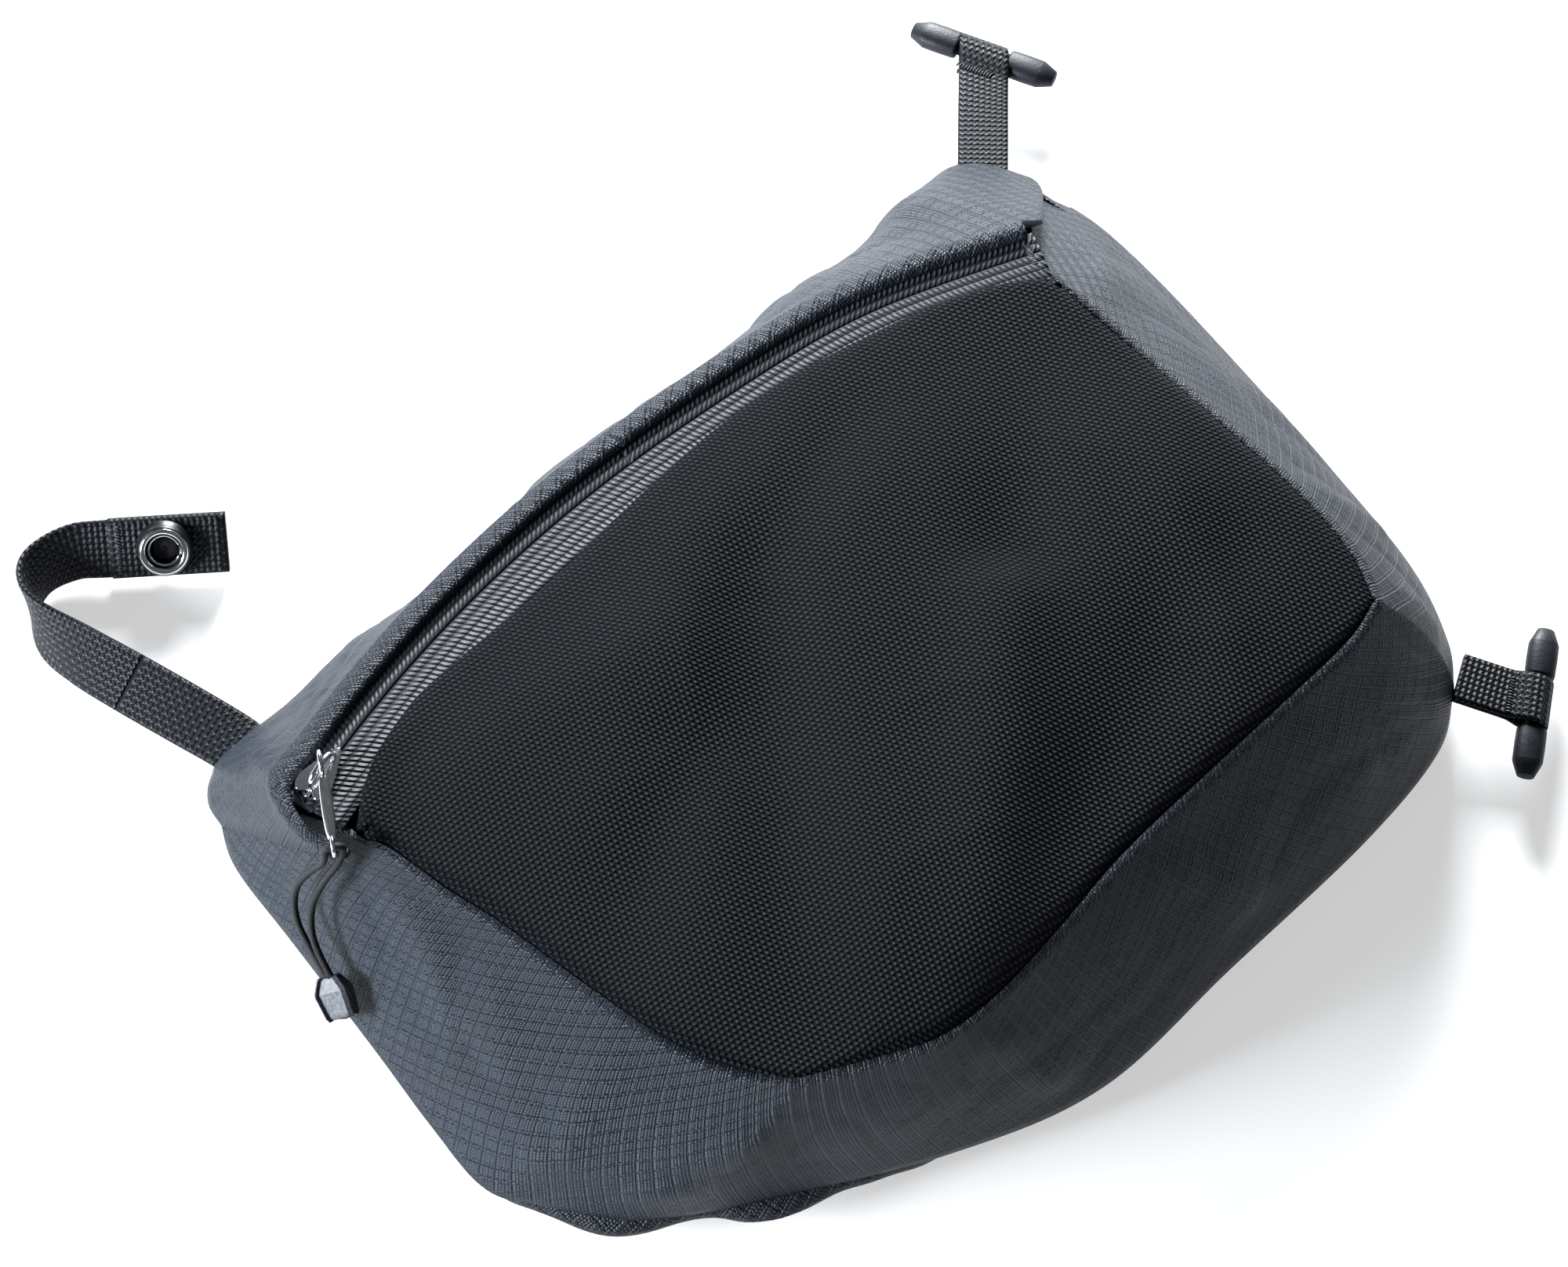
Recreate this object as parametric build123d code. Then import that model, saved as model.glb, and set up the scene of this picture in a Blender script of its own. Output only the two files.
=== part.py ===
"""Soft zipped pouch with two toggle tabs and a snap strap, as separate sub-parts in one frame.

The pouch lies on its back panel. +Z points out of the front panel, +X towards the two toggles and
+Y towards the zip. The origin is the middle of the back panel's flat resting face. Units are mm.
"""
from build123d import *
import math
import os

# --- the pouch ---------------------------------------------------------------------------------
FRONT_Z = 48.0          # height of the front panel's edge and of the zip tapes' outer face
SEAM_Z = 9.0            # height of the back seam above the resting face
GUSSET_WALL = 1.2       # gusset and top strip, fabric with its coating and lining
PANEL_WALL = 1.8        # front panel, padded
BACK_WALL = 1.5         # back panel
REST_INSET = 24.0       # from the back seam in to the edge of the flat resting face
REST_REACH = 6.0        # least rounding of the resting face's corners
GAP = 0.3               # between pieces that only lie beside each other
HEM_WIDTH = 6.0
HEM_WALL = 1.1          # doubled fabric over each end of the zip
BINDING_WALL = 1.0      # folded tape over the raw edges inside
BINDING_HEIGHT = 4.0

# --- the zip: an arc in one plane, about one centre ----------------------------------------------
ZIP_CENTRE = (-5.0, -227.5)
ZIP_RADIUS = 291.5
ZIP_HALF_GAP = 0.8      # the two halves stand this far from the middle line
TAPE_WALL = 0.8
TAPE_OUT = 4.2          # reach of each tape from the middle line
COIL_OUT = 2.6
COIL_HEIGHT = 1.8
LIP_RADIUS = 297.5      # outer edge of the top strip, about the zip's centre
LIP_HALF_ANGLE = 18.0
PANEL_RADIUS = 287.0    # upper edge of the front panel, about the zip's centre
ZIP_LEFT_ANGLE = 19.7   # ends of the tapes, each way from the middle
ZIP_RIGHT_ANGLE = 18.6
SLIDER_ANGLE = 18.4     # where the slider stands when the zip is closed
STOP_STEP = 0.2         # from a tape's end out to the middle of its bar tack, in degrees
LIP_LEFT = -86.0        # ends of the stretch of top strip that opens with the mouth
LIP_RIGHT = 66.0
LIP_GAP = 0.5

# --- slider, puller and cord ----------------------------------------------------------------------
SLIDER_LENGTH = 13.0
SLIDER_WIDTH = 8.0
SLIDER_PLATE = 1.3
SLIDER_TAIL_WIDTH = 6.4
FLANGE = 0.8            # rails that keep the coils in the slider
POST = 0.8              # wedge between the two halves of the zip
BRIDGE_LENGTH = 8.4
BRIDGE_WIDTH = 1.4
BRIDGE_HEIGHT = 4.0
BRIDGE_WALL = 1.1
PLATE_GAP = 0.5         # tape to the slider's top plate
PULLER_LENGTH = 17.5    # pivot to the middle of the cord's eye
PULLER_WALL = 1.6       # thickness of the bar, edge to edge
EYE_WALL = 1.0          # thickness of both eyes
PULLER_BAR = 2.2
EYE_R = 2.1             # hole round the bridge
EYE_RIM = 1.0
CORD_EYE_R = 1.35
CORD_EYE_RIM = 1.0
PULLER_AZIMUTH = 240.0  # the way the puller points, seen from above
PULLER_DROP = 4.0       # degrees below level
PIVOT_Z = FRONT_Z + PLATE_GAP + SLIDER_PLATE + BRIDGE_HEIGHT - BRIDGE_WALL / 2
CORD = 1.5              # cord diameter

# --- webbing, toggles and snap -----------------------------------------------------------------------
WEBBING = 1.3           # thickness
TAB_WIDTH = 11.0
STRAP_WIDTH = 13.0
TOGGLE_LENGTH = 34.0
TOGGLE_WIDE = 6.4
TOGGLE_FLAT = 4.8
TOGGLE_NECK_R = 2.0
TOGGLE_TIP = 3.4        # length of each truncated cone
NECK_LENGTH = TAB_WIDTH + 1.2
TAB_START = 1.2         # from the seam to the webbing's own solid
TACK_RISE = 0.4         # thread of a bar tack above the webbing
LOOP_CLEARANCE = 0.1    # between a toggle's neck and its webbing loop
SNAP_R = 5.6            # socket ring
SNAP_HEIGHT = 3.4
SNAP_BORE_R = 3.1
SNAP_ROUND = 0.8
SPRING_GROOVE = 0.9     # height and depth of the groove that holds the ring spring
SPRING_WIRE = 0.7
CAP_R = 6.2
CAP_HEIGHT = 1.4
CAP_DOME_R = 14.4
STUD_R = 2.9
STUD_HEIGHT = 2.6
STUD_BASE_R = 5.0
STUD_BASE = 0.7         # thickness of the stud's flange
POST_HEAD_R = 4.2       # head of the stud's post, inside the pouch
POST_HEAD = 0.8
POST_HEAD_GAP = 1.4
STRAP_TURN = 1.2        # free webbing between the strap's pieces and each of its hinge lines

# Corners of the back seam and of the front edge, in the same order: x, y and how far from the
# corner its rounding starts along each side.
BACK_CORNERS = [
    (-117, 80, 15), (4, 86, 80), (121, 88, 13), (112, -76, 18),
    (0, -91, 16), (-60, -80, 14), (-122, -36, 11),
]
LIP_RISE = LIP_RADIUS / math.cos(math.radians(LIP_HALF_ANGLE))
LIP_SLOPE = math.tan(math.radians(LIP_HALF_ANGLE))
FRONT_TOP = ZIP_CENTRE[1] + LIP_RISE
FRONT_LEFT, FRONT_RIGHT = -109, 95
FRONT_CORNERS = [
    (FRONT_LEFT, FRONT_TOP - (ZIP_CENTRE[0] - FRONT_LEFT) * LIP_SLOPE, 3),
    (ZIP_CENTRE[0], FRONT_TOP, LIP_RADIUS * LIP_SLOPE),
    (FRONT_RIGHT, FRONT_TOP - (FRONT_RIGHT - ZIP_CENTRE[0]) * LIP_SLOPE, 4),
    (96, -58, 11), (-20, -75, 14), (-64, -67, 13), (-85, -24, 14),
]

# The cord's route: up one strand, round the puller's far wire and down the other strand.
CORD_ROUTE = [
    (-117.8, 25.4, 20.8), (-117.0, 31.2, 23.2), (-115.8, 37.2, 25.2), (-112.8, 40.6, 30.4),
    (-109.7, 38.4, 38.2), (-107.8, 35.4, 44.4), (-107.4, 35.0, 48.8), (-107.4, 34.9, 52.0),
    (-104.1, 33.1, 52.0), (-104.1, 33.2, 48.8), (-105.8, 33.6, 44.0), (-109.0, 34.8, 38.2),
    (-112.2, 35.4, 31.2), (-115.0, 33.0, 26.6), (-116.6, 28.8, 23.8), (-117.2, 24.0, 21.1),
]


def sides(corners, i):
    """Unit vectors along the sides that enter and leave corner i."""
    points = [Vector(x, y) for x, y, _ in corners]
    after = points[(i + 1) % len(points)]
    return (points[i] - points[i - 1]).normalized(), (after - points[i]).normalized()


def half_turn(corners, i):
    """Tangent of half the angle by which the outline turns at corner i."""
    arriving, leaving = sides(corners, i)
    return math.tan(math.radians(arriving.get_angle(leaving)) / 2)


def inset(corners, depth, least_reach=0.5):
    """The same outline, moved in by depth along every side."""
    moved = []
    for i, (x, y, reach) in enumerate(corners):
        arriving, leaving = sides(corners, i)
        n1, n2 = Vector(arriving.Y, -arriving.X), Vector(leaving.Y, -leaving.X)
        shift = (n1 + n2) * (depth / (1 + n1.dot(n2)))
        moved.append((x + shift.X, y + shift.Y, max(reach - depth * half_turn(corners, i), least_reach)))
    return moved


def corners_at(z):
    """The gusset's outline at height z, between the back seam and the front edge."""
    t = (z - SEAM_Z) / (FRONT_Z - SEAM_Z)
    return [
        tuple(b + (f - b) * t for b, f in zip(back, front))
        for back, front in zip(BACK_CORNERS, FRONT_CORNERS)
    ]


def face_at(corners, z):
    points = [(x, y, z) for x, y, _ in corners]
    radii = [corner[2] / half_turn(corners, i) for i, corner in enumerate(corners)]
    return make_face(FilletPolyline(*points, radius=radii, close=True))


def lofted(z0, z1, depth):
    """The solid between the gusset's outlines at two heights, moved in by depth."""
    return loft([face_at(inset(corners_at(z), depth), z) for z in (z0, z1)], ruled=True)


def ring(z0, z1, outer, inner):
    """A band that follows the gusset's wall, between two depths in from its outer face."""
    return lofted(z0, z1, outer) - lofted(z0, z1, inner)


def block(x0, x1, y0, y1, z0, z1):
    return Pos((x0 + x1) / 2, (y0 + y1) / 2, (z0 + z1) / 2) * Box(x1 - x0, y1 - y0, z1 - z0)


def zip_point(angle, radius=ZIP_RADIUS, z=FRONT_Z):
    """A point on the zip's arc: angle in degrees to the left of the middle."""
    a = math.radians(90 + angle)
    return Vector(ZIP_CENTRE[0] + radius * math.cos(a), ZIP_CENTRE[1] + radius * math.sin(a), z)


def zip_band(r0, r1, z0, z1, left=ZIP_LEFT_ANGLE, right=ZIP_RIGHT_ANGLE):
    """A strip that follows the zip's arc, from left degrees to right degrees about the middle."""
    middle = (left - right) / 2
    inner, outer = ([zip_point(a, r, z0) for a in (left, middle, -right)] for r in (r0, r1))
    face = Face(Wire([
        ThreePointArc(*inner).edge(),
        Edge.make_line(inner[-1], outer[-1]),
        ThreePointArc(*outer).edge(),
        Edge.make_line(outer[0], inner[0]),
    ]))
    return extrude(face, amount=z1 - z0, dir=(0, 0, 1))


# The mouth's hinge line runs along the top of the back seam.
TOP_LEFT, TOP_RIGHT = (Vector(x, y) for x, y, _ in (BACK_CORNERS[0], BACK_CORNERS[2]))
HINGE_SLOPE = (TOP_RIGHT.Y - TOP_LEFT.Y) / (TOP_RIGHT.X - TOP_LEFT.X)
HINGE_TILT = math.degrees(math.atan(HINGE_SLOPE))
HINGE_Y = (TOP_LEFT.Y + TOP_RIGHT.Y) / 2


def mouth_zone(left, right):
    """Everything along the top edge between two stations of the mouth's hinge line."""
    zone = block(left, right, -45, 40, -5, FRONT_Z + 20)
    return Pos(0, HINGE_Y, 0) * Rot(0, 0, HINGE_TILT) * zone


def hem_line(side):
    """The folded gusset end at one end of the zip: its points on the back seam and on the front edge."""
    if side == "left":
        return Vector(-110, 77, SEAM_Z), Vector(-109.4, 45, FRONT_Z)
    return Vector(115, 82, SEAM_Z), Vector(92, 46, FRONT_Z)


def hem_zone(side, width):
    """A slab of the given width along a hem, through the gusset's whole height."""
    low, high = hem_line(side)
    run = (high - low).normalized()
    across = Vector(1, 0, 0) - run * run.X
    plane = Plane(origin=(low + high) * 0.5, x_dir=across.normalized(), z_dir=run)
    return plane.location * Box(width, 40, 90)


# --- shell --------------------------------------------------------------------------------------


def top_region():
    """The part of the gusset's ring that is the top strip, between the two hems."""
    left_low, left_high = hem_line("left")
    right_low, right_high = hem_line("right")
    outline = [
        (left_high.X - 0.8, left_high.Y - 4), (left_low.X - 5, left_low.Y + 20), (0, HINGE_Y + 30),
        (right_low.X + 12, right_low.Y + 20), (right_high.X + 1.5, right_high.Y - 4), (ZIP_CENTRE[0], 50),
    ]
    base = make_face(Polyline(*[(x, y, 0) for x, y in outline], close=True))
    return extrude(base, amount=FRONT_Z + 20, dir=(0, 0, 1))


def make_gusset():
    band = ring(SEAM_Z + GAP, FRONT_Z, 0, GUSSET_WALL)
    return band - top_region()


def make_top_strip():
    """The top strip, as the stretch that opens with the mouth and its two fixed ends."""
    band = ring(SEAM_Z + GAP, FRONT_Z, 0, GUSSET_WALL) & top_region()
    lip = band & mouth_zone(LIP_LEFT, LIP_RIGHT)
    ends = band - mouth_zone(LIP_LEFT - LIP_GAP, LIP_RIGHT + LIP_GAP)
    return lip, ends


def make_hem(side):
    """A doubled strip of gusset outside the wall, with a tongue over the end of the zip."""
    wall = ring(SEAM_Z + 2, FRONT_Z, -GAP - HEM_WALL, -GAP)
    outline = face_at(inset(FRONT_CORNERS, -GAP - HEM_WALL), FRONT_Z)
    flap = extrude(outline, amount=GAP + HEM_WALL, dir=(0, 0, 1))
    flap -= extrude(face_at(inset(FRONT_CORNERS, -GAP), FRONT_Z), amount=GAP, dir=(0, 0, 1))
    zone = hem_zone(side, HEM_WIDTH) & block(-140, 140, 41, 100, 0, 60)
    return (wall + flap) & zone


def make_front_panel():
    plate = extrude(face_at(inset(corners_at(FRONT_Z), GUSSET_WALL + GAP), FRONT_Z - PANEL_WALL),
                    amount=PANEL_WALL, dir=(0, 0, 1))
    below_zip = Pos(*ZIP_CENTRE, FRONT_Z) * Cylinder(PANEL_RADIUS, 20)
    return plate & below_zip


def make_back_panel():
    rest = inset(BACK_CORNERS, REST_INSET, REST_REACH)
    rest_inner = inset(BACK_CORNERS, REST_INSET + BACK_WALL, REST_REACH)
    outer = loft([face_at(rest, 0), face_at(BACK_CORNERS, SEAM_Z)], ruled=True)
    seam_inner = inset(BACK_CORNERS, 2 * BACK_WALL)
    inner = loft([face_at(rest_inner, BACK_WALL), face_at(seam_inner, SEAM_Z)], ruled=True)
    return outer - inner


def make_bindings():
    depth = GUSSET_WALL + 2 * GAP
    top = FRONT_Z - PANEL_WALL - GAP
    front = ring(top - BINDING_HEIGHT, top, depth, depth + BINDING_WALL)
    front -= block(-140, 140, 30, 100, 0, 60)
    depth = 2 * BACK_WALL + GAP
    low = SEAM_Z + 2 * GAP
    back = ring(low, low + BINDING_HEIGHT, depth, depth + BINDING_WALL)
    back -= mouth_zone(LIP_LEFT - 3, LIP_RIGHT + 3)
    return front, back


# --- zip ----------------------------------------------------------------------------------------


def make_zip():
    top = FRONT_Z - TAPE_WALL
    lower_tape = zip_band(ZIP_RADIUS - TAPE_OUT, ZIP_RADIUS - ZIP_HALF_GAP, top, FRONT_Z)
    upper_tape = zip_band(ZIP_RADIUS + ZIP_HALF_GAP, ZIP_RADIUS + TAPE_OUT, top, FRONT_Z)
    lower_coil = zip_band(ZIP_RADIUS - COIL_OUT, ZIP_RADIUS - ZIP_HALF_GAP, top - COIL_HEIGHT, top)
    upper_coil = zip_band(ZIP_RADIUS + ZIP_HALF_GAP, ZIP_RADIUS + COIL_OUT, top - COIL_HEIGHT, top)
    moving = mouth_zone(LIP_LEFT, LIP_RIGHT)
    fixed = mouth_zone(LIP_LEFT - LIP_GAP, LIP_RIGHT + LIP_GAP)
    return {
        "zip_tape_lower": lower_tape,
        "zip_coil_lower": lower_coil,
        "zip_tape_upper": upper_tape & moving,
        "zip_coil_upper": upper_coil & moving,
        "zip_tape_upper_ends": upper_tape - fixed,
        "zip_coil_upper_ends": upper_coil - fixed,
    }


def make_stops():
    """A bar tack across the coils at each end of the zip."""
    stops = []
    for angle in (ZIP_LEFT_ANGLE + STOP_STEP, -ZIP_RIGHT_ANGLE - STOP_STEP):
        bar = Box(1.4, 2 * COIL_OUT, COIL_HEIGHT + TAPE_WALL)
        place = zip_point(angle, z=FRONT_Z - (COIL_HEIGHT + TAPE_WALL) / 2)
        stops.append(Pos(*place) * Rot(0, 0, angle) * bar)
    return Compound(children=stops)


def slider_frame():
    """The slider's own axes: x along the zip away from the closed end, y across it and outwards."""
    return Pos(*zip_point(SLIDER_ANGLE)) * Rot(0, 0, SLIDER_ANGLE)


def slider_plate(z, thickness):
    """A plate with a wide shoulder at the closed end and a narrower tail."""
    half, tail, length = SLIDER_WIDTH / 2, SLIDER_TAIL_WIDTH / 2, SLIDER_LENGTH / 2
    outline = [(-length, -half + 1.4), (-length + 2.2, -half), (0, -half), (length, -tail),
               (length, tail), (0, half), (-length + 2.2, half), (-length, half - 1.4)]
    face = Pos(0, 0, z) * make_face(Polyline(*outline, close=True))
    return extrude(face, amount=thickness, dir=(0, 0, 1))


def make_slider():
    low = -TAPE_WALL - COIL_HEIGHT - 0.6 - SLIDER_PLATE
    top_plate = slider_plate(PLATE_GAP, SLIDER_PLATE)
    bottom_plate = slider_plate(low, SLIDER_PLATE)
    nose = -SLIDER_LENGTH / 2
    post = block(nose + 0.6, nose + 5.0, -POST / 2, POST / 2, low + 0.2, PLATE_GAP + 0.2)
    body = top_plate + bottom_plate + post
    for side in (-1, 1):
        flange = block(-3.6, 0.5, -FLANGE / 2, FLANGE / 2, low + 0.2, -TAPE_WALL - PLATE_GAP)
        body += Pos(0, side * (COIL_OUT + 0.4 + FLANGE / 2), 0) * flange
    return slider_frame() * body


def make_bridge():
    """The arch on the slider's top plate that holds the puller's wire."""
    base = PLATE_GAP + SLIDER_PLATE
    arch = Box(BRIDGE_LENGTH, BRIDGE_WIDTH, BRIDGE_HEIGHT)
    arch -= Pos(0, 0, -BRIDGE_WALL) * Box(BRIDGE_LENGTH - 2 * BRIDGE_WALL, BRIDGE_WIDTH, BRIDGE_HEIGHT)
    arch = Pos(0, 0, base + BRIDGE_HEIGHT / 2) * arch
    ridge = arch.edges().filter_by(Axis.Y).sort_by(Axis.Z)[-2:]
    return slider_frame() * fillet(ridge, BRIDGE_WALL * 0.9)


def puller_frame():
    """Origin at the pivot, x towards the far end of the puller, y along the pivot."""
    pivot = zip_point(SLIDER_ANGLE, z=PIVOT_Z)
    return Pos(*pivot) * Rot(0, 0, PULLER_AZIMUTH) * Rot(0, PULLER_DROP, 0)


def eye(x, bore, rim):
    """A ring that stands on edge in the puller's own plane."""
    return Pos(x, 0, 0) * Rot(90, 0, 0) * (Cylinder(bore + rim, EYE_WALL) - Cylinder(bore, EYE_WALL))


def make_puller():
    """A slim bar with an eye round the slider's bridge and an eye for the cord."""
    bar = block(EYE_R + EYE_RIM / 2, PULLER_LENGTH - CORD_EYE_R - CORD_EYE_RIM / 2,
                -PULLER_BAR / 2, PULLER_BAR / 2, -PULLER_WALL / 2, PULLER_WALL / 2)
    bar = fillet(bar.edges().filter_by(Axis.X), 0.6)
    return puller_frame() * (eye(0, EYE_R, EYE_RIM) + bar + eye(PULLER_LENGTH, CORD_EYE_R, CORD_EYE_RIM))


# --- cord ---------------------------------------------------------------------------------------


def cord_radii(route):
    """Each corner's arc: 0.45 of its shorter run, divided by the tangent of half the turn."""
    points = [Vector(*p) for p in route]
    radii = []
    for before, corner, after in zip(points, points[1:], points[2:]):
        turn = (corner - before).get_angle(after - corner)
        shorter = min((corner - before).length, (after - corner).length)
        radii.append(0.45 * shorter / math.tan(math.radians(turn / 2)))
    return radii


def make_cord():
    radii = cord_radii(CORD_ROUTE)
    path = FilletPolyline(*CORD_ROUTE, radius=radii)
    print("cord radii", [round(r, 1) for r in radii], "length", round(path.length, 1))
    start = Plane(origin=path @ 0, z_dir=path % 0)
    tube = sweep(start * Circle(CORD / 2), path=path)
    section = math.pi * CORD**2 / 4
    print("cord volume", round(tube.volume, 1), "section x length", round(section * path.length, 1))
    return tube


def make_cord_end():
    """A moulded block with chamfered shoulders, where both strands end."""
    mouth = (Vector(*CORD_ROUTE[0]) + Vector(*CORD_ROUTE[-1])) * 0.5
    away = Vector(-2.0, -6.8, -4.2).normalized()
    across = Vector(*CORD_ROUTE[-1]) - Vector(*CORD_ROUTE[0])
    across = (across - away * across.dot(away)).normalized()
    frame = Plane(origin=mouth, x_dir=across, z_dir=away).location
    small = make_face(Rectangle(5.2, 3.0).wire())
    wide = make_face(Pos(0, 0, 3.0) * Rectangle(8.0, 4.4).wire())
    far = make_face(Pos(0, 0, 9.0) * Rectangle(7.0, 3.8).wire())
    return frame * (loft([small, wide], ruled=True) + loft([wide, far], ruled=True))


# --- tabs and toggles ---------------------------------------------------------------------------


class Tab:
    """Where a tab leaves the seam and where its toggle lies."""

    def __init__(self, root, toggle, skew):
        self.root = Vector(*root)
        self.toggle = Vector(*toggle)
        self.skew = skew
        self.run = self.toggle - self.root

    def frame(self):
        """Origin at the toggle, x along its neck and z up."""
        along = self.run.normalized()
        side = along.cross(Vector(0, 0, 1)).normalized()
        flat = Plane(origin=self.toggle, x_dir=side, z_dir=side.cross(along))
        return flat.location * Rot(0, 0, self.skew)


TABS = {
    "upper": Tab((112.2, 88.8, 9.8), (131.5, 110.6, 8.0), -22),
    "lower": Tab((107.0, -71.6, 9.8), (114.8, -83.6, 8.0), 6),
}


def make_tab(tab):
    """Doubled webbing from the seam, open as a loop round the toggle's neck."""
    bore = TOGGLE_NECK_R + LOOP_CLEARANCE
    half = TAB_WIDTH / 2
    start = TAB_START - tab.run.length
    loop = Rot(0, 90, 0) * Cylinder(bore + WEBBING, TAB_WIDTH)
    at_root = [Rot(0, 0, -tab.skew) * Vertex(x, start, 0) for x in (half, -half)]
    outline = [(-half, 0), (half, 0)] + [(corner.X, corner.Y) for corner in at_root]
    strip = extrude(make_face(Polyline(*outline, close=True)), amount=WEBBING, both=True)
    bore_cut = Rot(0, 90, 0) * Cylinder(bore, TAB_WIDTH + 4)
    return tab.frame() * (loop + strip - bore_cut)


def make_tack(tab):
    """The bar tack that closes the webbing behind the toggle."""
    y = -TOGGLE_NECK_R - WEBBING - 2.2
    half = TAB_WIDTH / 2 - 1.4
    upper = block(-half, half, y - 0.8, y + 0.8, WEBBING, WEBBING + TACK_RISE)
    lower = block(-half, half, y - 0.8, y + 0.8, -WEBBING - TACK_RISE, -WEBBING)
    return Compound(children=[tab.frame() * upper, tab.frame() * lower])


def make_toggle(tab):
    """A flattened bar with truncated cone ends and a round neck in the middle."""
    half, neck = TOGGLE_LENGTH / 2, NECK_LENGTH / 2
    body = Rot(0, 90, 0) * Cylinder(TOGGLE_NECK_R, NECK_LENGTH + 0.4)
    for side in (-1, 1):
        full = Plane(origin=(side * neck, 0, 0), x_dir=(0, 1, 0), z_dir=(side, 0, 0))
        bar = extrude(full * Ellipse(TOGGLE_WIDE / 2, TOGGLE_FLAT / 2), amount=half - neck - TOGGLE_TIP)
        shoulder = full.offset(half - neck - TOGGLE_TIP)
        tip = full.offset(half - neck)
        body += bar
        body += loft([shoulder * Ellipse(TOGGLE_WIDE / 2, TOGGLE_FLAT / 2),
                      tip * Ellipse(TOGGLE_WIDE / 3.4, TOGGLE_FLAT / 3.4)], ruled=True)
    return tab.frame() * body


# --- snap strap ---------------------------------------------------------------------------------

# Middle line of the strap and the way its width points, from the lower edge to the upper edge.
STRAP_STATIONS = [
    ((-99.0, 82.0, 11.4), (0.98, 0.19, 0.08)),
    ((-103.0, 94.0, 11.6), (0.93, 0.26, 0.25)),
    ((-107.0, 107.0, 10.4), (0.84, 0.36, 0.40)),
    ((-110.6, 119.6, 8.8), (0.68, 0.44, 0.58)),
    ((-112.6, 129.6, 7.6), (0.40, 0.46, 0.79)),
    ((-111.2, 137.6, 7.0), (0.10, 0.36, 0.93)),
    ((-105.8, 142.2, 6.8), (-0.04, 0.44, 0.90)),
    ((-97.6, 141.4, 6.6), (0.08, 0.62, 0.78)),
    ((-90.6, 137.0, 6.4), (0.22, 0.68, 0.70)),
    ((-70.6, 122.4, 6.4), (0.24, 0.68, 0.69)),
]
STRAP_BEND = 5          # station where the second strap body starts
STRAP_HEM = 8           # station where the folded end starts


def strap_section(station, thickness, shift):
    """The webbing's cross-section at a station: a rectangle across the run."""
    middle, across = (Vector(*v) for v in STRAP_STATIONS[station])
    across = across.normalized()
    before = Vector(*STRAP_STATIONS[max(station - 1, 0)][0])
    after = Vector(*STRAP_STATIONS[min(station + 1, len(STRAP_STATIONS) - 1)][0])
    along = after - before
    along = (along - across * along.dot(across)).normalized()
    plane = Plane(origin=middle, x_dir=across, z_dir=along).offset(shift)
    return plane * Rectangle(STRAP_WIDTH, thickness)


def strap_piece(first, last, thickness=WEBBING, start=0.0, end=0.0):
    """The strap between two stations, with its ends moved along the run by start and end."""
    shifts = [0.0] * (last - first + 1)
    shifts[0], shifts[-1] = start, end
    sections = [strap_section(first + i, thickness, shift) for i, shift in enumerate(shifts)]
    return loft(sections, ruled=True)


def snap_frame():
    """Origin in the middle of the folded end, z out of the face that carries the socket."""
    start, end = (Vector(*STRAP_STATIONS[i][0]) for i in (STRAP_HEM, STRAP_HEM + 1))
    across = Vector(*STRAP_STATIONS[STRAP_HEM][1]).normalized()
    along = (end - start).normalized()
    face = across.cross(along)
    if face.Z < 0:
        face = face * -1
    return Plane(origin=start + (end - start) * 0.47, x_dir=along, z_dir=face).location


def make_snap():
    """Socket ring and its ring spring on the inner face, domed cap on the other face."""
    face = WEBBING + 0.1
    frame = snap_frame()
    ring_body = Cylinder(SNAP_R, SNAP_HEIGHT) - Cylinder(SNAP_BORE_R, SNAP_HEIGHT)
    rim = ring_body.edges().filter_by(GeomType.CIRCLE).group_by(Axis.Z)[-1]
    socket = Pos(0, 0, face + SNAP_HEIGHT / 2) * fillet(rim, SNAP_ROUND)
    spring_place = Pos(0, 0, face + SNAP_HEIGHT * 0.45)
    socket -= spring_place * Cylinder(SNAP_BORE_R + SPRING_GROOVE, SPRING_GROOVE)
    spring = spring_place * Torus(SNAP_BORE_R + SPRING_GROOVE / 2, SPRING_WIRE / 2)
    dome = Pos(0, 0, -face + CAP_DOME_R - CAP_HEIGHT) * Sphere(CAP_DOME_R)
    cap = Pos(0, 0, -face - CAP_HEIGHT / 2) * Cylinder(CAP_R, CAP_HEIGHT) & dome
    return {"snap_socket": frame * socket, "snap_spring": frame * spring, "snap_cap": frame * cap}


# The mating stud stands on the back panel's slope, beside the strap's root.
STUD_PLACE = (-78.0, 69.6)


def stud_frame():
    """Origin on the back panel's slope, z out of it."""
    slope = math.atan2(SEAM_Z, REST_INSET)
    x, y = STUD_PLACE
    rise = (y - HINGE_Y - HINGE_SLOPE * x + REST_INSET) * math.tan(slope)
    tilt = math.radians(HINGE_TILT)
    out = Vector(-math.sin(slope) * math.sin(tilt), math.sin(slope) * math.cos(tilt), -math.cos(slope))
    face = Plane(origin=(x, y, rise), x_dir=(1, HINGE_SLOPE, 0), z_dir=out)
    return face.offset(GAP + 0.1).location


def make_stud():
    """Stud outside the back panel, and the head of its post inside."""
    frame = stud_frame()
    flange = Pos(0, 0, STUD_BASE / 2) * Cylinder(STUD_BASE_R, STUD_BASE)
    neck = Pos(0, 0, STUD_BASE + STUD_HEIGHT / 2) * Cylinder(STUD_R, STUD_HEIGHT)
    stud = flange + neck
    crown = stud.edges().filter_by(GeomType.CIRCLE).sort_by(Axis.Z)[-1:]
    head = Pos(0, 0, -BACK_WALL - POST_HEAD_GAP) * Cylinder(POST_HEAD_R, POST_HEAD)
    return {"snap_stud": frame * fillet(crown, STUD_BASE), "snap_stud_post": frame * head}


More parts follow.
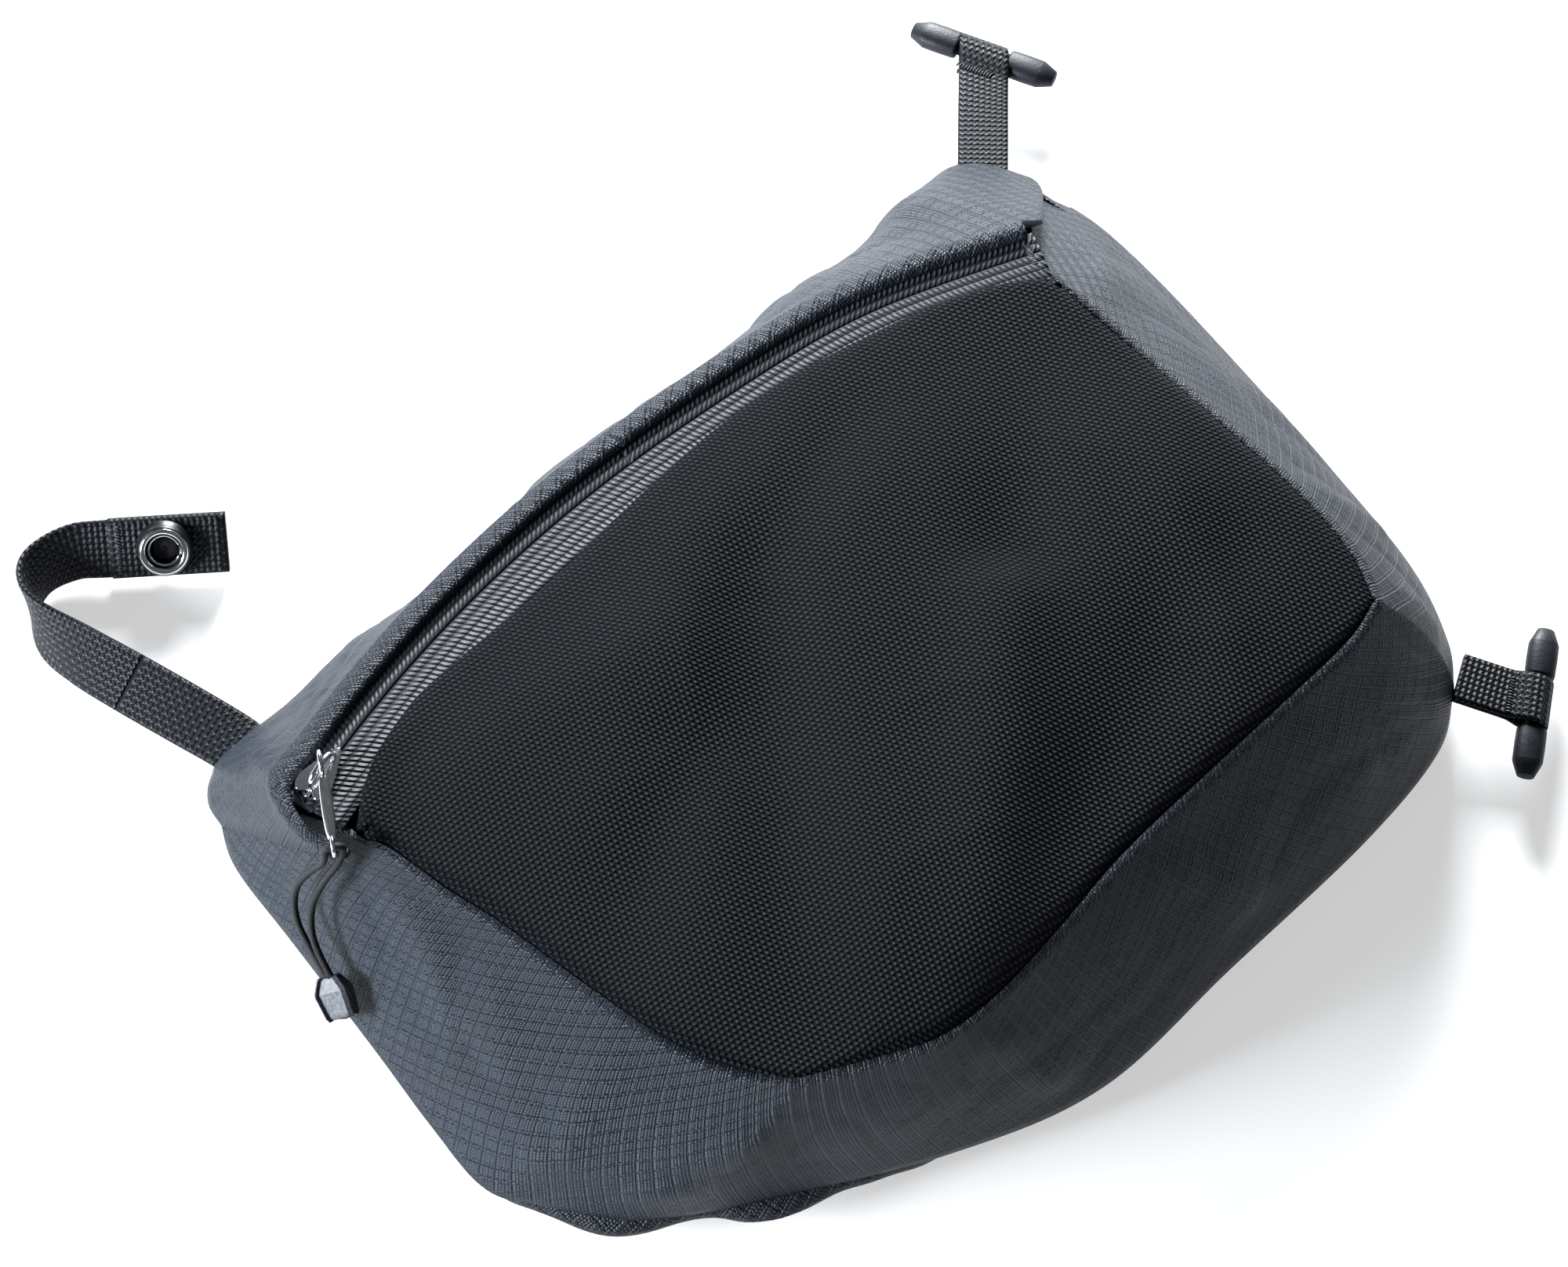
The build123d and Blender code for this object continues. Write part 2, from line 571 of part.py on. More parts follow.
def build_all():
    lip, ends = make_top_strip()
    front_binding, back_binding = make_bindings()
    nodes = {
        "front_panel": make_front_panel(),
        "back_panel": make_back_panel(),
        "side_gusset": make_gusset(),
        "top_strip": lip,
        "top_strip_ends": ends,
        "gusset_hem_left": make_hem("left"),
        "gusset_hem_right": make_hem("right"),
        "front_seam_binding": front_binding,
        "back_seam_binding": back_binding,
        "zip_stops": make_stops(),
        "zip_slider": make_slider(),
        "slider_bridge": make_bridge(),
        "puller_bail": make_puller(),
        "puller_cord": make_cord(),
        "cord_end": make_cord_end(),
        "strap_root": strap_piece(0, STRAP_BEND, start=STRAP_TURN, end=-STRAP_TURN),
        "strap_tip": strap_piece(STRAP_BEND, STRAP_HEM, start=STRAP_TURN),
        "strap_hem": strap_piece(STRAP_HEM, STRAP_HEM + 1, thickness=2 * WEBBING, start=GAP),
    }
    nodes.update(make_zip())
    nodes.update(make_snap())
    nodes.update(make_stud())
    for name, tab in TABS.items():
        nodes[f"tab_{name}"] = make_tab(tab)
        nodes[f"toggle_{name}"] = make_toggle(tab)
        nodes[f"tab_{name}_tack"] = make_tack(tab)
    return nodes


os.makedirs("parts", exist_ok=True)
for node, solid in build_all().items():
    export_step(solid, f"parts/{node}.step")
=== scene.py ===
"""Soft zipped pouch on its CAD frame: lofted fabric shell, zip, slider, cord, strap, tabs and toggles.

Outlines and shapes are in millimetres in the frame's own axes. build() turns them into metres, and mm() does so for
single points.
"""

import math

import bmesh
import bpy
from mathutils import Matrix, Vector, noise


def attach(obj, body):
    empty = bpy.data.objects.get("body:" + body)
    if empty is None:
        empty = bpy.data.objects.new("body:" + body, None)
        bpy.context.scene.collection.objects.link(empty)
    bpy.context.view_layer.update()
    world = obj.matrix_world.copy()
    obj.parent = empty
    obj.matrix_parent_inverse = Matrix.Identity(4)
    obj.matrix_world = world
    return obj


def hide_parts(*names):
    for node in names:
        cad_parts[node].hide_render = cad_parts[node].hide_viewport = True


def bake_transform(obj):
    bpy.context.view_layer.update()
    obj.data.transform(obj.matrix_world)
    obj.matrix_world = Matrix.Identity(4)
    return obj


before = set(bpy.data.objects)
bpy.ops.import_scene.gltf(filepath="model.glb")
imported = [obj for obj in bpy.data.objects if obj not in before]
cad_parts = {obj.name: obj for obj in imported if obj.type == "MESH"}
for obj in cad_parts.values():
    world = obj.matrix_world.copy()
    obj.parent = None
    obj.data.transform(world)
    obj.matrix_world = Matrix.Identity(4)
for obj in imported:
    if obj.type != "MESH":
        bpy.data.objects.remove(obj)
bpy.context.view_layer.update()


def mm(*values):
    return Vector(v / 1000 for v in values)


# --- camera and cord ------------------------------------------------------------------------------

CAMERA_AZIMUTH, CAMERA_ELEVATION = math.radians(-40), math.radians(64)
CAMERA_TARGET = mm(0, 23, 25)
CAMERA_DISTANCE = 1.0

camera = bpy.data.objects.new("camera", bpy.data.cameras.new("camera"))
bpy.context.collection.objects.link(camera)
bpy.context.scene.camera = camera
camera.data.lens, camera.data.sensor_width = 111.6, 36
back = Vector((
    math.sin(CAMERA_AZIMUTH) * math.cos(CAMERA_ELEVATION),
    -math.cos(CAMERA_AZIMUTH) * math.cos(CAMERA_ELEVATION),
    math.sin(CAMERA_ELEVATION),
))
camera.location = CAMERA_TARGET + back * CAMERA_DISTANCE
camera.rotation_mode = "QUATERNION"
camera.rotation_quaternion = (-back).to_track_quat("-Z", "Y")

CORD_ROUTE = [
    (-117.8, 25.4, 20.8), (-117.0, 31.2, 23.2), (-115.8, 37.2, 25.2), (-112.8, 40.6, 30.4),
    (-109.7, 38.4, 38.2), (-107.8, 35.4, 44.4), (-107.4, 35.0, 48.8), (-107.4, 34.9, 52.0),
    (-104.1, 33.1, 52.0), (-104.1, 33.2, 48.8), (-105.8, 33.6, 44.0), (-109.0, 34.8, 38.2),
    (-112.2, 35.4, 31.2), (-115.0, 33.0, 26.6), (-116.6, 28.8, 23.8), (-117.2, 24.0, 21.1),
]
CORD_DIAMETER = 0.0015


# --- node helpers for the materials ---------------------------------------------------------------


class Nodes:
    """A material's node tree, with short calls for the nodes that the fabrics share."""

    def __init__(self, name):
        self.material = bpy.data.materials.new(name)
        self.material.use_nodes = True
        self.tree = self.material.node_tree
        self.shader = self.tree.nodes["Principled BSDF"]
        self.coords = self.tree.nodes.new("ShaderNodeTexCoord")

    def link(self, source, target):
        self.tree.links.new(source, target)

    def put(self, socket, value):
        if hasattr(value, "is_output"):
            self.link(value, socket)
        else:
            socket.default_value = value

    def math(self, operation, a, b=0.0, c=0.0):
        node = self.tree.nodes.new("ShaderNodeMath")
        node.operation = operation
        for socket, value in zip(node.inputs, (a, b, c)):
            self.put(socket, value)
        return node.outputs[0]

    def mapped(self, scale, turn=0.0, source="UV"):
        node = self.tree.nodes.new("ShaderNodeMapping")
        node.inputs["Scale"].default_value = scale
        node.inputs["Rotation"].default_value = (0, 0, turn)
        self.link(self.coords.outputs[source], node.inputs["Vector"])
        return node.outputs[0]

    def split(self, vector):
        node = self.tree.nodes.new("ShaderNodeSeparateXYZ")
        self.link(vector, node.inputs[0])
        return node.outputs

    def noise(self, vector, scale, detail=3.0, rough=0.55):
        node = self.tree.nodes.new("ShaderNodeTexNoise")
        self.link(vector, node.inputs["Vector"])
        node.inputs["Scale"].default_value = scale
        node.inputs["Detail"].default_value = detail
        node.inputs["Roughness"].default_value = rough
        return node.outputs["Fac"]

    def ramp(self, factor, stops):
        node = self.tree.nodes.new("ShaderNodeValToRGB")
        self.put(node.inputs[0], factor)
        elements = node.color_ramp.elements
        while len(elements) < len(stops):
            elements.new(0.5)
        for element, (place, colour) in zip(elements, stops):
            element.position = place
            element.color = (*colour, 1)
        return node.outputs[0]

    def mix(self, factor, a, b, blend="MIX"):
        node = self.tree.nodes.new("ShaderNodeMix")
        node.data_type, node.blend_type = "RGBA", blend
        self.put(node.inputs[0], factor)
        for socket, value in ((node.inputs[6], a), (node.inputs[7], b)):
            self.put(socket, (*value, 1) if isinstance(value, tuple) else value)
        return node.outputs[2]

    def bump(self, height, distance, strength=1.0, under=None):
        node = self.tree.nodes.new("ShaderNodeBump")
        node.inputs["Strength"].default_value = strength
        node.inputs["Distance"].default_value = distance
        self.link(height, node.inputs["Height"])
        if under is not None:
            self.link(under, node.inputs["Normal"])
        return node.outputs[0]

    def finish(self, colour, roughness, normal=None, **constants):
        self.put(self.shader.inputs["Base Color"], (*colour, 1) if isinstance(colour, tuple) else colour)
        self.put(self.shader.inputs["Roughness"], roughness)
        if normal is not None:
            self.link(normal, self.shader.inputs["Normal"])
        for name, value in constants.items():
            self.shader.inputs[name.replace("_", " ")].default_value = value
        return self.material

    def ridge(self, value, period, sharp):
        """A raised line each period: 1 on it and 0 between."""
        wave = self.math("PINGPONG", value, period / 2)
        wave = self.math("DIVIDE", wave, period / 2)
        return self.math("POWER", wave, sharp)


def ripstop(name, base, grid=0.0031, turn=32):
    """Plain weave with a double-line grid and a soft sheen."""
    n = Nodes(name)
    u, v, _ = n.split(n.mapped((1, 1, 1), math.radians(turn)))
    lines = []
    for value in (u, v):
        for shift in (0.0, 0.0008):
            lines.append(n.ridge(n.math("ADD", value, shift), grid, 16))
    grid_lines = n.math("MAXIMUM", n.math("MAXIMUM", lines[0], lines[1]),
                        n.math("MAXIMUM", lines[2], lines[3]))
    wave = n.math("MULTIPLY", n.math("SINE", n.math("MULTIPLY", u, 4200)), 0.00012)
    weave = n.math("MULTIPLY", n.ridge(u, 0.00062, 0.9), n.ridge(n.math("ADD", v, wave), 0.00055, 0.9))
    cloud = n.noise(n.mapped((1, 1, 1), source="Object"), 38, 4)
    slub = n.noise(n.mapped((700, 60, 1)), 1.0, 2)
    dark = tuple(c * 0.72 for c in base)
    pale = tuple(c * 1.5 for c in base)
    colour = n.ramp(cloud, [(0.3, dark), (0.7, tuple(c * 1.12 for c in base))])
    along = n.math("MAXIMUM", lines[0], lines[1])
    # Painted highlight: bright glints in short dashes along one set of grid lines, mixed in below.
    painted_glint = n.math("MULTIPLY", along, n.math("POWER", n.math("SINE", n.math("MULTIPLY", v, 5200)), 2.0))
    # Painted highlight: the weave's raised yarns are coloured lighter than the cloth between them.
    colour = n.mix(n.math("MULTIPLY", weave, 0.8), colour, tuple(c * 3.2 for c in base))
    colour = n.mix(n.math("MULTIPLY", grid_lines, 0.7), colour, tuple(c * 0.25 for c in base))
    colour = n.mix(n.math("MULTIPLY", painted_glint, 0.8), colour, tuple(c * 9.0 for c in base))
    colour = n.mix(n.math("MULTIPLY", slub, 0.1), colour, pale)
    rough = n.math("ADD", n.math("MULTIPLY", cloud, 0.12), 0.42)
    fold = n.bump(n.noise(n.mapped((1, 1, 1), source="Object"), 70, 3), 0.0012, 0.25)
    fine = n.bump(weave, 0.0002, 0.9, fold)
    normal = n.bump(grid_lines, 0.0002, 1.0, fine)
    return n.finish(colour, rough, normal, Sheen_Weight=0.01, Sheen_Roughness=0.3, Specular_IOR_Level=0.26)


def coarse_weave(name):
    """Near-black packcloth of raised floats that run in diagonal lines."""
    n = Nodes(name)
    turned = n.mapped((1, 1, 1), math.radians(57), "Object")
    a, b, _ = n.split(turned)
    steps = n.math("ADD", a, n.math("MULTIPLY", n.math("FLOOR", n.math("DIVIDE", b, 0.00094)), 0.0007))
    float_run = n.math("POWER", n.math("DIVIDE", n.math("PINGPONG", steps, 0.0007), 0.0007), 0.9)
    across = n.math("POWER", n.math("DIVIDE", n.math("PINGPONG", b, 0.00047), 0.00047), 0.8)
    floats = n.math("MULTIPLY", float_run, across)
    cloud = n.noise(n.mapped((1, 1, 1), source="Object"), 26, 4)
    fibre = n.noise(n.mapped((1, 1, 1), source="Object"), 2600, 2)
    # Painted shade and highlight: near black in the gaps between the floats, pale on the floats' tops.
    colour = n.ramp(floats, [(0.25, (0.0004, 0.0006, 0.001)), (0.6, (0.0028, 0.0042, 0.0075)),
                             (1.0, (0.056, 0.075, 0.112))])
    colour = n.mix(n.math("MULTIPLY", fibre, 0.3), colour, (0.004, 0.005, 0.007))
    colour = n.mix(n.math("MULTIPLY", cloud, 0.3), colour, (0.003, 0.0036, 0.005))
    fold = n.bump(n.noise(n.mapped((1, 1, 1), source="Object"), 60, 3), 0.0015, 0.3)
    normal = n.bump(floats, 0.00042, 1.0, fold)
    rough = n.math("SUBTRACT", 0.78, n.math("MULTIPLY", floats, 0.3))
    return n.finish(colour, rough, normal, Specular_IOR_Level=0.08)


def webbing(name, base):
    """Cross-ribbed webbing, its colour painted with highlights where its yarns come up and painted shade between
    them. u runs across and v along.
    """
    n = Nodes(name)
    u, v, _ = n.split(n.mapped((1, 1, 1)))
    bow = n.math("MULTIPLY", n.math("PINGPONG", u, 0.00065), 0.55)
    rib = n.ridge(n.math("ADD", v, bow), 0.00125, 0.8)
    warp = n.ridge(u, 0.0013, 1.0)
    row = n.math("FLOOR", n.math("DIVIDE", v, 0.00125))
    odd = n.math("PINGPONG", n.math("ADD", row, n.math("FLOOR", n.math("DIVIDE", u, 0.0013))), 1.0)
    painted_glint = n.math("MULTIPLY", n.math("MULTIPLY", rib, warp),
                   n.math("ADD", 0.35, n.math("MULTIPLY", odd, 0.65)))
    fibre = n.noise(n.mapped((1, 1, 1), source="Object"), 3200, 2)
    pale = tuple(c * 9.0 for c in base)
    # Painted shade and highlight: near black between the ribs, pale on the raised yarns.
    colour = n.ramp(painted_glint, [(0.1, tuple(c * 0.12 for c in base)), (0.45, tuple(c * 0.7 for c in base)),
                            (1.0, pale)])
    colour = n.mix(n.math("MULTIPLY", fibre, 0.45), colour, tuple(c * 0.6 for c in base))
    normal = n.bump(n.math("MAXIMUM", rib, n.math("MULTIPLY", warp, 0.6)), 0.0003, 0.9)
    return n.finish(colour, 0.5, normal, Specular_IOR_Level=0.2)


def knit_tape(name):
    """Zip tape: two rows of slanting ribs each side of a fine centre line. v runs across the zip."""
    n = Nodes(name)
    u, v, _ = n.split(n.mapped((1, 1, 1)))
    side = n.math("ABSOLUTE", v)
    slant = n.math("SUBTRACT", u, n.math("MULTIPLY", side, 0.55))
    rib = n.ridge(slant, 0.00125, 0.9)
    channel = n.math("PINGPONG", side, 0.00105)
    channel = n.math("POWER", n.math("DIVIDE", channel, 0.00105), 0.45)
    body = n.math("MULTIPLY", rib, channel)
    fibre = n.noise(n.mapped((1, 1, 1), source="Object"), 3000, 2)
    # Painted shade and highlight: near black in the channels between the rows, pale on the tops of the ribs.
    colour = n.ramp(body, [(0.1, (0.001, 0.0015, 0.0025)), (0.5, (0.012, 0.015, 0.022)),
                           (1.0, (0.13, 0.15, 0.19))])
    colour = n.mix(n.math("MULTIPLY", fibre, 0.4), colour, (0.02, 0.022, 0.027))
    normal = n.bump(body, 0.00035, 1.0)
    return n.finish(colour, 0.55, normal, Sheen_Weight=0.03, Sheen_Roughness=0.4, Specular_IOR_Level=0.3)


def thread(name, base):
    n = Nodes(name)
    a, b, c = n.split(n.mapped((1, 1, 1), source="Object"))
    twist = n.ridge(n.math("ADD", n.math("ADD", a, b), c), 0.0005, 1.0)
    colour = n.ramp(twist, [(0.0, tuple(v * 0.5 for v in base)), (1.0, tuple(v * 1.5 for v in base))])
    return n.finish(colour, 0.55, n.bump(twist, 0.0001, 0.8), Sheen_Weight=0.03, Specular_IOR_Level=0.3)


def moulded(name, base, rough, speck=0.0):
    """Moulded plastic with a fine spark-eroded texture and scuffs."""
    n = Nodes(name)
    place = n.mapped((1, 1, 1), source="Object")
    grain = n.noise(place, 1500, 3)
    scuff = n.noise(place, 220, 4)
    colour = n.ramp(scuff, [(0.35, tuple(c * 0.8 for c in base)), (0.75, tuple(c * 1.35 for c in base))])
    if speck:
        colour = n.mix(n.math("MULTIPLY", n.math("POWER", grain, 2.0), speck), colour, (0.45, 0.46, 0.5))
    rough_out = n.math("ADD", n.math("MULTIPLY", scuff, 0.16), rough - 0.08)
    return n.finish(colour, rough_out, n.bump(grain, 0.00012, 0.6), Specular_IOR_Level=0.28)


def metal(name, base, rough):
    """Polished plating with fine handling scratches."""
    n = Nodes(name)
    place = n.mapped((1, 1, 1), source="Object")
    streak = n.noise(n.mapped((900, 90, 900), math.radians(35), "Object"), 1.0, 3)
    cloud = n.noise(place, 260, 3)
    colour = n.ramp(cloud, [(0.3, tuple(c * 0.85 for c in base)), (0.7, base)])
    rough_out = n.math("ADD", n.math("MULTIPLY", streak, 0.14), rough)
    return n.finish(colour, rough_out, n.bump(streak, 0.00003, 0.25), Metallic=1.0)


def enamel(name, base):
    n = Nodes(name)
    place = n.mapped((1, 1, 1), source="Object")
    orange_peel = n.noise(place, 700, 2)
    wear = n.noise(place, 300, 4)
    colour = n.ramp(wear, [(0.5, base), (0.8, tuple(c * 2.2 for c in base))])
    rough = n.math("ADD", n.math("MULTIPLY", wear, 0.18), 0.26)
    return n.finish(colour, rough, n.bump(orange_peel, 0.00004, 0.3), Specular_IOR_Level=0.35)


def cord_braid(name):
    n = Nodes(name)
    u, v, _ = n.split(n.mapped((1, 1, 1)))
    braid = n.math("MULTIPLY", n.ridge(n.math("ADD", u, v), 0.05, 1.0),
                   n.ridge(n.math("SUBTRACT", u, v), 0.05, 1.0))
    fibre = n.noise(n.mapped((1, 1, 1), source="Object"), 2600, 3)
    colour = n.ramp(fibre, [(0.3, (0.002, 0.002, 0.003)), (0.8, (0.012, 0.013, 0.016))])
    height = n.math("ADD", n.math("MULTIPLY", braid, 0.5), fibre)
    return n.finish(colour, 0.6, n.bump(height, 0.00012, 0.8), Specular_IOR_Level=0.25)


MATERIALS = {
    "ripstop": ripstop("ripstop", (0.0080, 0.0112, 0.0175)),
    "ripstop_back": ripstop("ripstop_back", (0.0065, 0.0085, 0.0125)),
    "weave": coarse_weave("weave"),
    "webbing": webbing("webbing", (0.012, 0.0145, 0.021)),
    "tape": knit_tape("tape"),
    "stitch": thread("stitch", (0.03, 0.034, 0.043)),
    "binding": webbing("binding", (0.02, 0.022, 0.027)),
    "chrome": metal("chrome", (0.86, 0.88, 0.91), 0.09),
    "snap_metal": metal("snap_metal", (0.82, 0.83, 0.85), 0.07),
    "black": enamel("black", (0.004, 0.004, 0.005)),
    "toggle": moulded("toggle", (0.007, 0.009, 0.0135), 0.5),
    "cord_end": moulded("cord_end", (0.04, 0.044, 0.054), 0.5, 0.5),
    "coil": moulded("coil", (0.02, 0.021, 0.026), 0.35),
    "cord": cord_braid("cord"),
}


# --- curves and surfaces, in millimetres ----------------------------------------------------------


def V(*values):
    return Vector(values)


def catmull(points, steps=14):
    """A smooth line through given points."""
    pts = [Vector(p) for p in points]
    pts = [pts[0] * 2 - pts[1]] + pts + [pts[-1] * 2 - pts[-2]]
    line = []
    for a, b, c, d in zip(pts, pts[1:], pts[2:], pts[3:]):
        for i in range(steps):
            t = i / steps
            line.append(0.5 * ((2 * b) + (c - a) * t + (2 * a - 5 * b + 4 * c - d) * t * t
                               + (3 * b - a - 3 * c + d) * t ** 3))
    line.append(pts[-2])
    return line


def resample(line, count):
    """count points at even spacing along a line."""
    marks = [0.0]
    for a, b in zip(line, line[1:]):
        marks.append(marks[-1] + (b - a).length)
    out, k = [], 0
    for i in range(count):
        want = marks[-1] * i / (count - 1)
        while k < len(line) - 2 and marks[k + 1] < want:
            k += 1
        run = marks[k + 1] - marks[k]
        out.append(line[k].lerp(line[k + 1], (want - marks[k]) / run if run else 0.0))
    return out


def smooth_path(points, count):
    return resample(catmull(points), count)


def smoothstep(a, b, x):
    t = min(max((x - a) / (b - a), 0.0), 1.0)
    return t * t * (3 - 2 * t)


def ridged(p, scale, seed):
    """Soft creases: high along thin wandering lines and low between them."""
    value = noise.noise(p / scale + Vector((seed, seed * 1.7, seed * 0.3)))
    return 1 - min(abs(value) * 2.6, 1.0)


def build(name, verts, faces, material, uvs=None):
    mesh = bpy.data.meshes.new(name)
    mesh.from_pydata([v / 1000 for v in verts], [], faces)
    if uvs:
        layer = mesh.uv_layers.new(name="UVMap")
        for loop in mesh.loops:
            layer.data[loop.index].uv = uvs[loop.vertex_index]
    mesh.polygons.foreach_set("use_smooth", [True] * len(mesh.polygons))
    mesh.update()
    obj = bpy.data.objects.new(name, mesh)
    bpy.context.collection.objects.link(obj)
    obj.data.materials.append(MATERIALS[material])
    return obj


def bake(obj, *modifiers):
    """Adds modifiers as (type, settings) and applies them to the mesh."""
    for kind, settings in modifiers:
        modifier = obj.modifiers.new(kind.lower(), kind)
        for key, value in settings.items():
            setattr(modifier, key, value)
    graph = bpy.context.evaluated_depsgraph_get()
    graph.update()
    mesh = bpy.data.meshes.new_from_object(obj.evaluated_get(graph))
    obj.modifiers.clear()
    obj.data = mesh
    mesh.polygons.foreach_set("use_smooth", [True] * len(mesh.polygons))
    return obj


def grid(name, rows, material, thickness=0.0, closed=False, v0=0.0):
    """A surface through rows of points. UVs are arc lengths in metres: u along a row, v across the rows."""
    count = len(rows[0])
    middle = rows[len(rows) // 2]
    vs = [v0]
    length = sum((b - a).length for a, b in zip(middle, middle[1:])) / 1000
    us = [length * j / (count - 1) for j in range(count)]
    column = count // 2
    for a, b in zip(rows, rows[1:]):
        vs.append(vs[-1] + (b[column] - a[column]).length / 1000)
    verts = [p for row in rows for p in row]
    uvs = [(us[j], vs[i]) for i in range(len(rows)) for j in range(count)]
    faces = []
    last = count if closed else count - 1
    for i in range(len(rows) - 1):
        for j in range(last):
            k = (j + 1) % count
            faces.append((i * count + j, i * count + k, (i + 1) * count + k, (i + 1) * count + j))
    obj = build(name, verts, faces, material, uvs)
    if thickness:
        bake(obj, ("SOLIDIFY", {"thickness": thickness / 1000, "offset": -1.0}))
    return obj


def normals(rows):
    """Unit normals of a grid of points."""
    out = []
    for i, row in enumerate(rows):
        up = rows[min(i + 1, len(rows) - 1)]
        down = rows[max(i - 1, 0)]
        line = []
        for j in range(len(row)):
            along = row[min(j + 1, len(row) - 1)] - row[max(j - 1, 0)]
            line.append(along.cross(up[j] - down[j]).normalized())
        out.append(line)
    return out


def ribbon(name, path, ups, width, thickness, material, first=0, last=None, shear=None):
    """Webbing along a path, or along the stretch from first to last of it: ups are its face normals.
    u runs across and v along. shear(x, i) moves a point that lies x across at station i along the webbing."""
    half, edge = width / 2, thickness / 2
    section = [(-half, 0), (-half + 0.25, edge * 0.85), (-half + 0.8, edge), (-half * 0.5, edge), (0, edge),
               (half * 0.5, edge), (half - 0.8, edge), (half - 0.25, edge * 0.85), (half, 0)]
    section += [(x, -z) for x, z in reversed(section[1:-1])]
    n, count = len(section), len(path)
    last = count - 1 if last is None else last
    verts, uvs, v = [], [], 0.0
    for i, (p, up) in enumerate(zip(path, ups)):
        if i:
            v += (p - path[i - 1]).length / 1000
        along = (path[min(i + 1, count - 1)] - path[max(i - 1, 0)]).normalized()
        across = along.cross(up).normalized()
        face = across.cross(along)
        if i < first or i > last:
            continue
        for x, z in section:
            skewed = shear(x, i) if shear else V(0, 0, 0)
            verts.append(p + across * x + face * z + skewed)
            uvs.append((x / 1000, v))
    count = last - first + 1
    faces = [(i * n + j, i * n + (j + 1) % n, (i + 1) * n + (j + 1) % n, (i + 1) * n + j)
             for i in range(count - 1) for j in range(n)]
    faces += [tuple(range(n - 1, -1, -1)), tuple(range((count - 1) * n, count * n))]
    return build(name, verts, faces, material, uvs)


def lathe(name, profile, place, material, segments=48, oval=1.0):
    """A turned piece: profile is a list of (radius, height), place a matrix in millimetres."""
    verts, faces = [], []
    for r, z in profile:
        for k in range(segments):
            a = 2 * math.pi * k / segments
            verts.append(place @ V(r * math.cos(a), r * oval * math.sin(a), z))
    for i in range(len(profile) - 1):
        for k in range(segments):
            m = (k + 1) % segments
            faces.append((i * segments + k, i * segments + m, (i + 1) * segments + m, (i + 1) * segments + k))
    if profile[0] != profile[-1]:
        faces.append(tuple(range(segments - 1, -1, -1)))
        faces.append(tuple(range((len(profile) - 1) * segments, len(profile) * segments)))
    return build(name, verts, faces, material)


def frame_matrix(origin, x, z):
    x, z = Vector(x).normalized(), Vector(z).normalized()
    x = (x - z * x.dot(z)).normalized()
    y = z.cross(x)
    return Matrix.Translation(Vector(origin)) @ Matrix((x, y, z)).transposed().to_4x4()


def join(name, objects):
    """Joins objects into the first one."""
    mesh = bmesh.new()
    slots = []
    for obj in objects:
        part = bmesh.new()
        part.from_mesh(obj.data)
        for own in obj.data.materials:
            if own not in slots:
                slots.append(own)
        moved = {i: slots.index(own) for i, own in enumerate(obj.data.materials)}
        for face in part.faces:
            face.material_index = moved.get(face.material_index, 0)
        data = bpy.data.meshes.new("join")
        part.to_mesh(data)
        part.free()
        mesh.from_mesh(data)
        bpy.data.meshes.remove(data)
    first = objects[0]
    joined = bpy.data.meshes.new(name)
    for own in slots:
        joined.materials.append(own)
    mesh.to_mesh(joined)
    mesh.free()
    first.data = joined
    for obj in objects[1:]:
        bpy.data.objects.remove(obj, do_unlink=True)
    first.name = name
    return first


def capsule(verts, faces, a, b, up, radius):
    """One stitch from a to b that dives into the cloth at both ends."""
    along = (b - a).normalized()
    side = along.cross(up).normalized()
    start = len(verts)
    for t, lift, r in ((0.0, -0.5, 0.5), (0.12, 0.2, 0.85), (0.35, 0.55, 1.0), (0.65, 0.55, 1.0),
                       (0.88, 0.2, 0.85), (1.0, -0.5, 0.5)):
        middle = a.lerp(b, t) + up * (lift * radius)
        for k in range(6):
            q = math.pi * k / 3
            verts.append(middle + (side * math.cos(q) * 1.25 + up * math.sin(q)) * (radius * r))
    for i in range(5):
        for k in range(6):
            m = (k + 1) % 6
            faces.append((start + i * 6 + k, start + i * 6 + m, start + (i + 1) * 6 + m,
                          start + (i + 1) * 6 + k))
    faces.append(tuple(start + k for k in range(5, -1, -1)))
    faces.append(tuple(start + 30 + k for k in range(6)))


def stitches(name, path, ups, length=2.1, gap=0.7, radius=0.24, material="stitch"):
    """A row of stitches along a path that lies on the cloth."""
    verts, faces = [], []
    marks = [0.0]
    for a, b in zip(path, path[1:]):
        marks.append(marks[-1] + (b - a).length)

    def at(s):
        k = 0
        while k < len(marks) - 2 and marks[k + 1] < s:
            k += 1
        t = (s - marks[k]) / max(marks[k + 1] - marks[k], 1e-6)
        return path[k].lerp(path[k + 1], t), ups[k].lerp(ups[k + 1], t).normalized()

    s = gap
    while s + length < marks[-1]:
        (a, n1), (b, n2) = at(s), at(s + length)
        capsule(verts, faces, a, b, (n1 + n2).normalized(), radius)
        s += length + gap
    return build(name, verts, faces, material)


# --- outlines, in the order left to right along the top, then clockwise ---------------------------

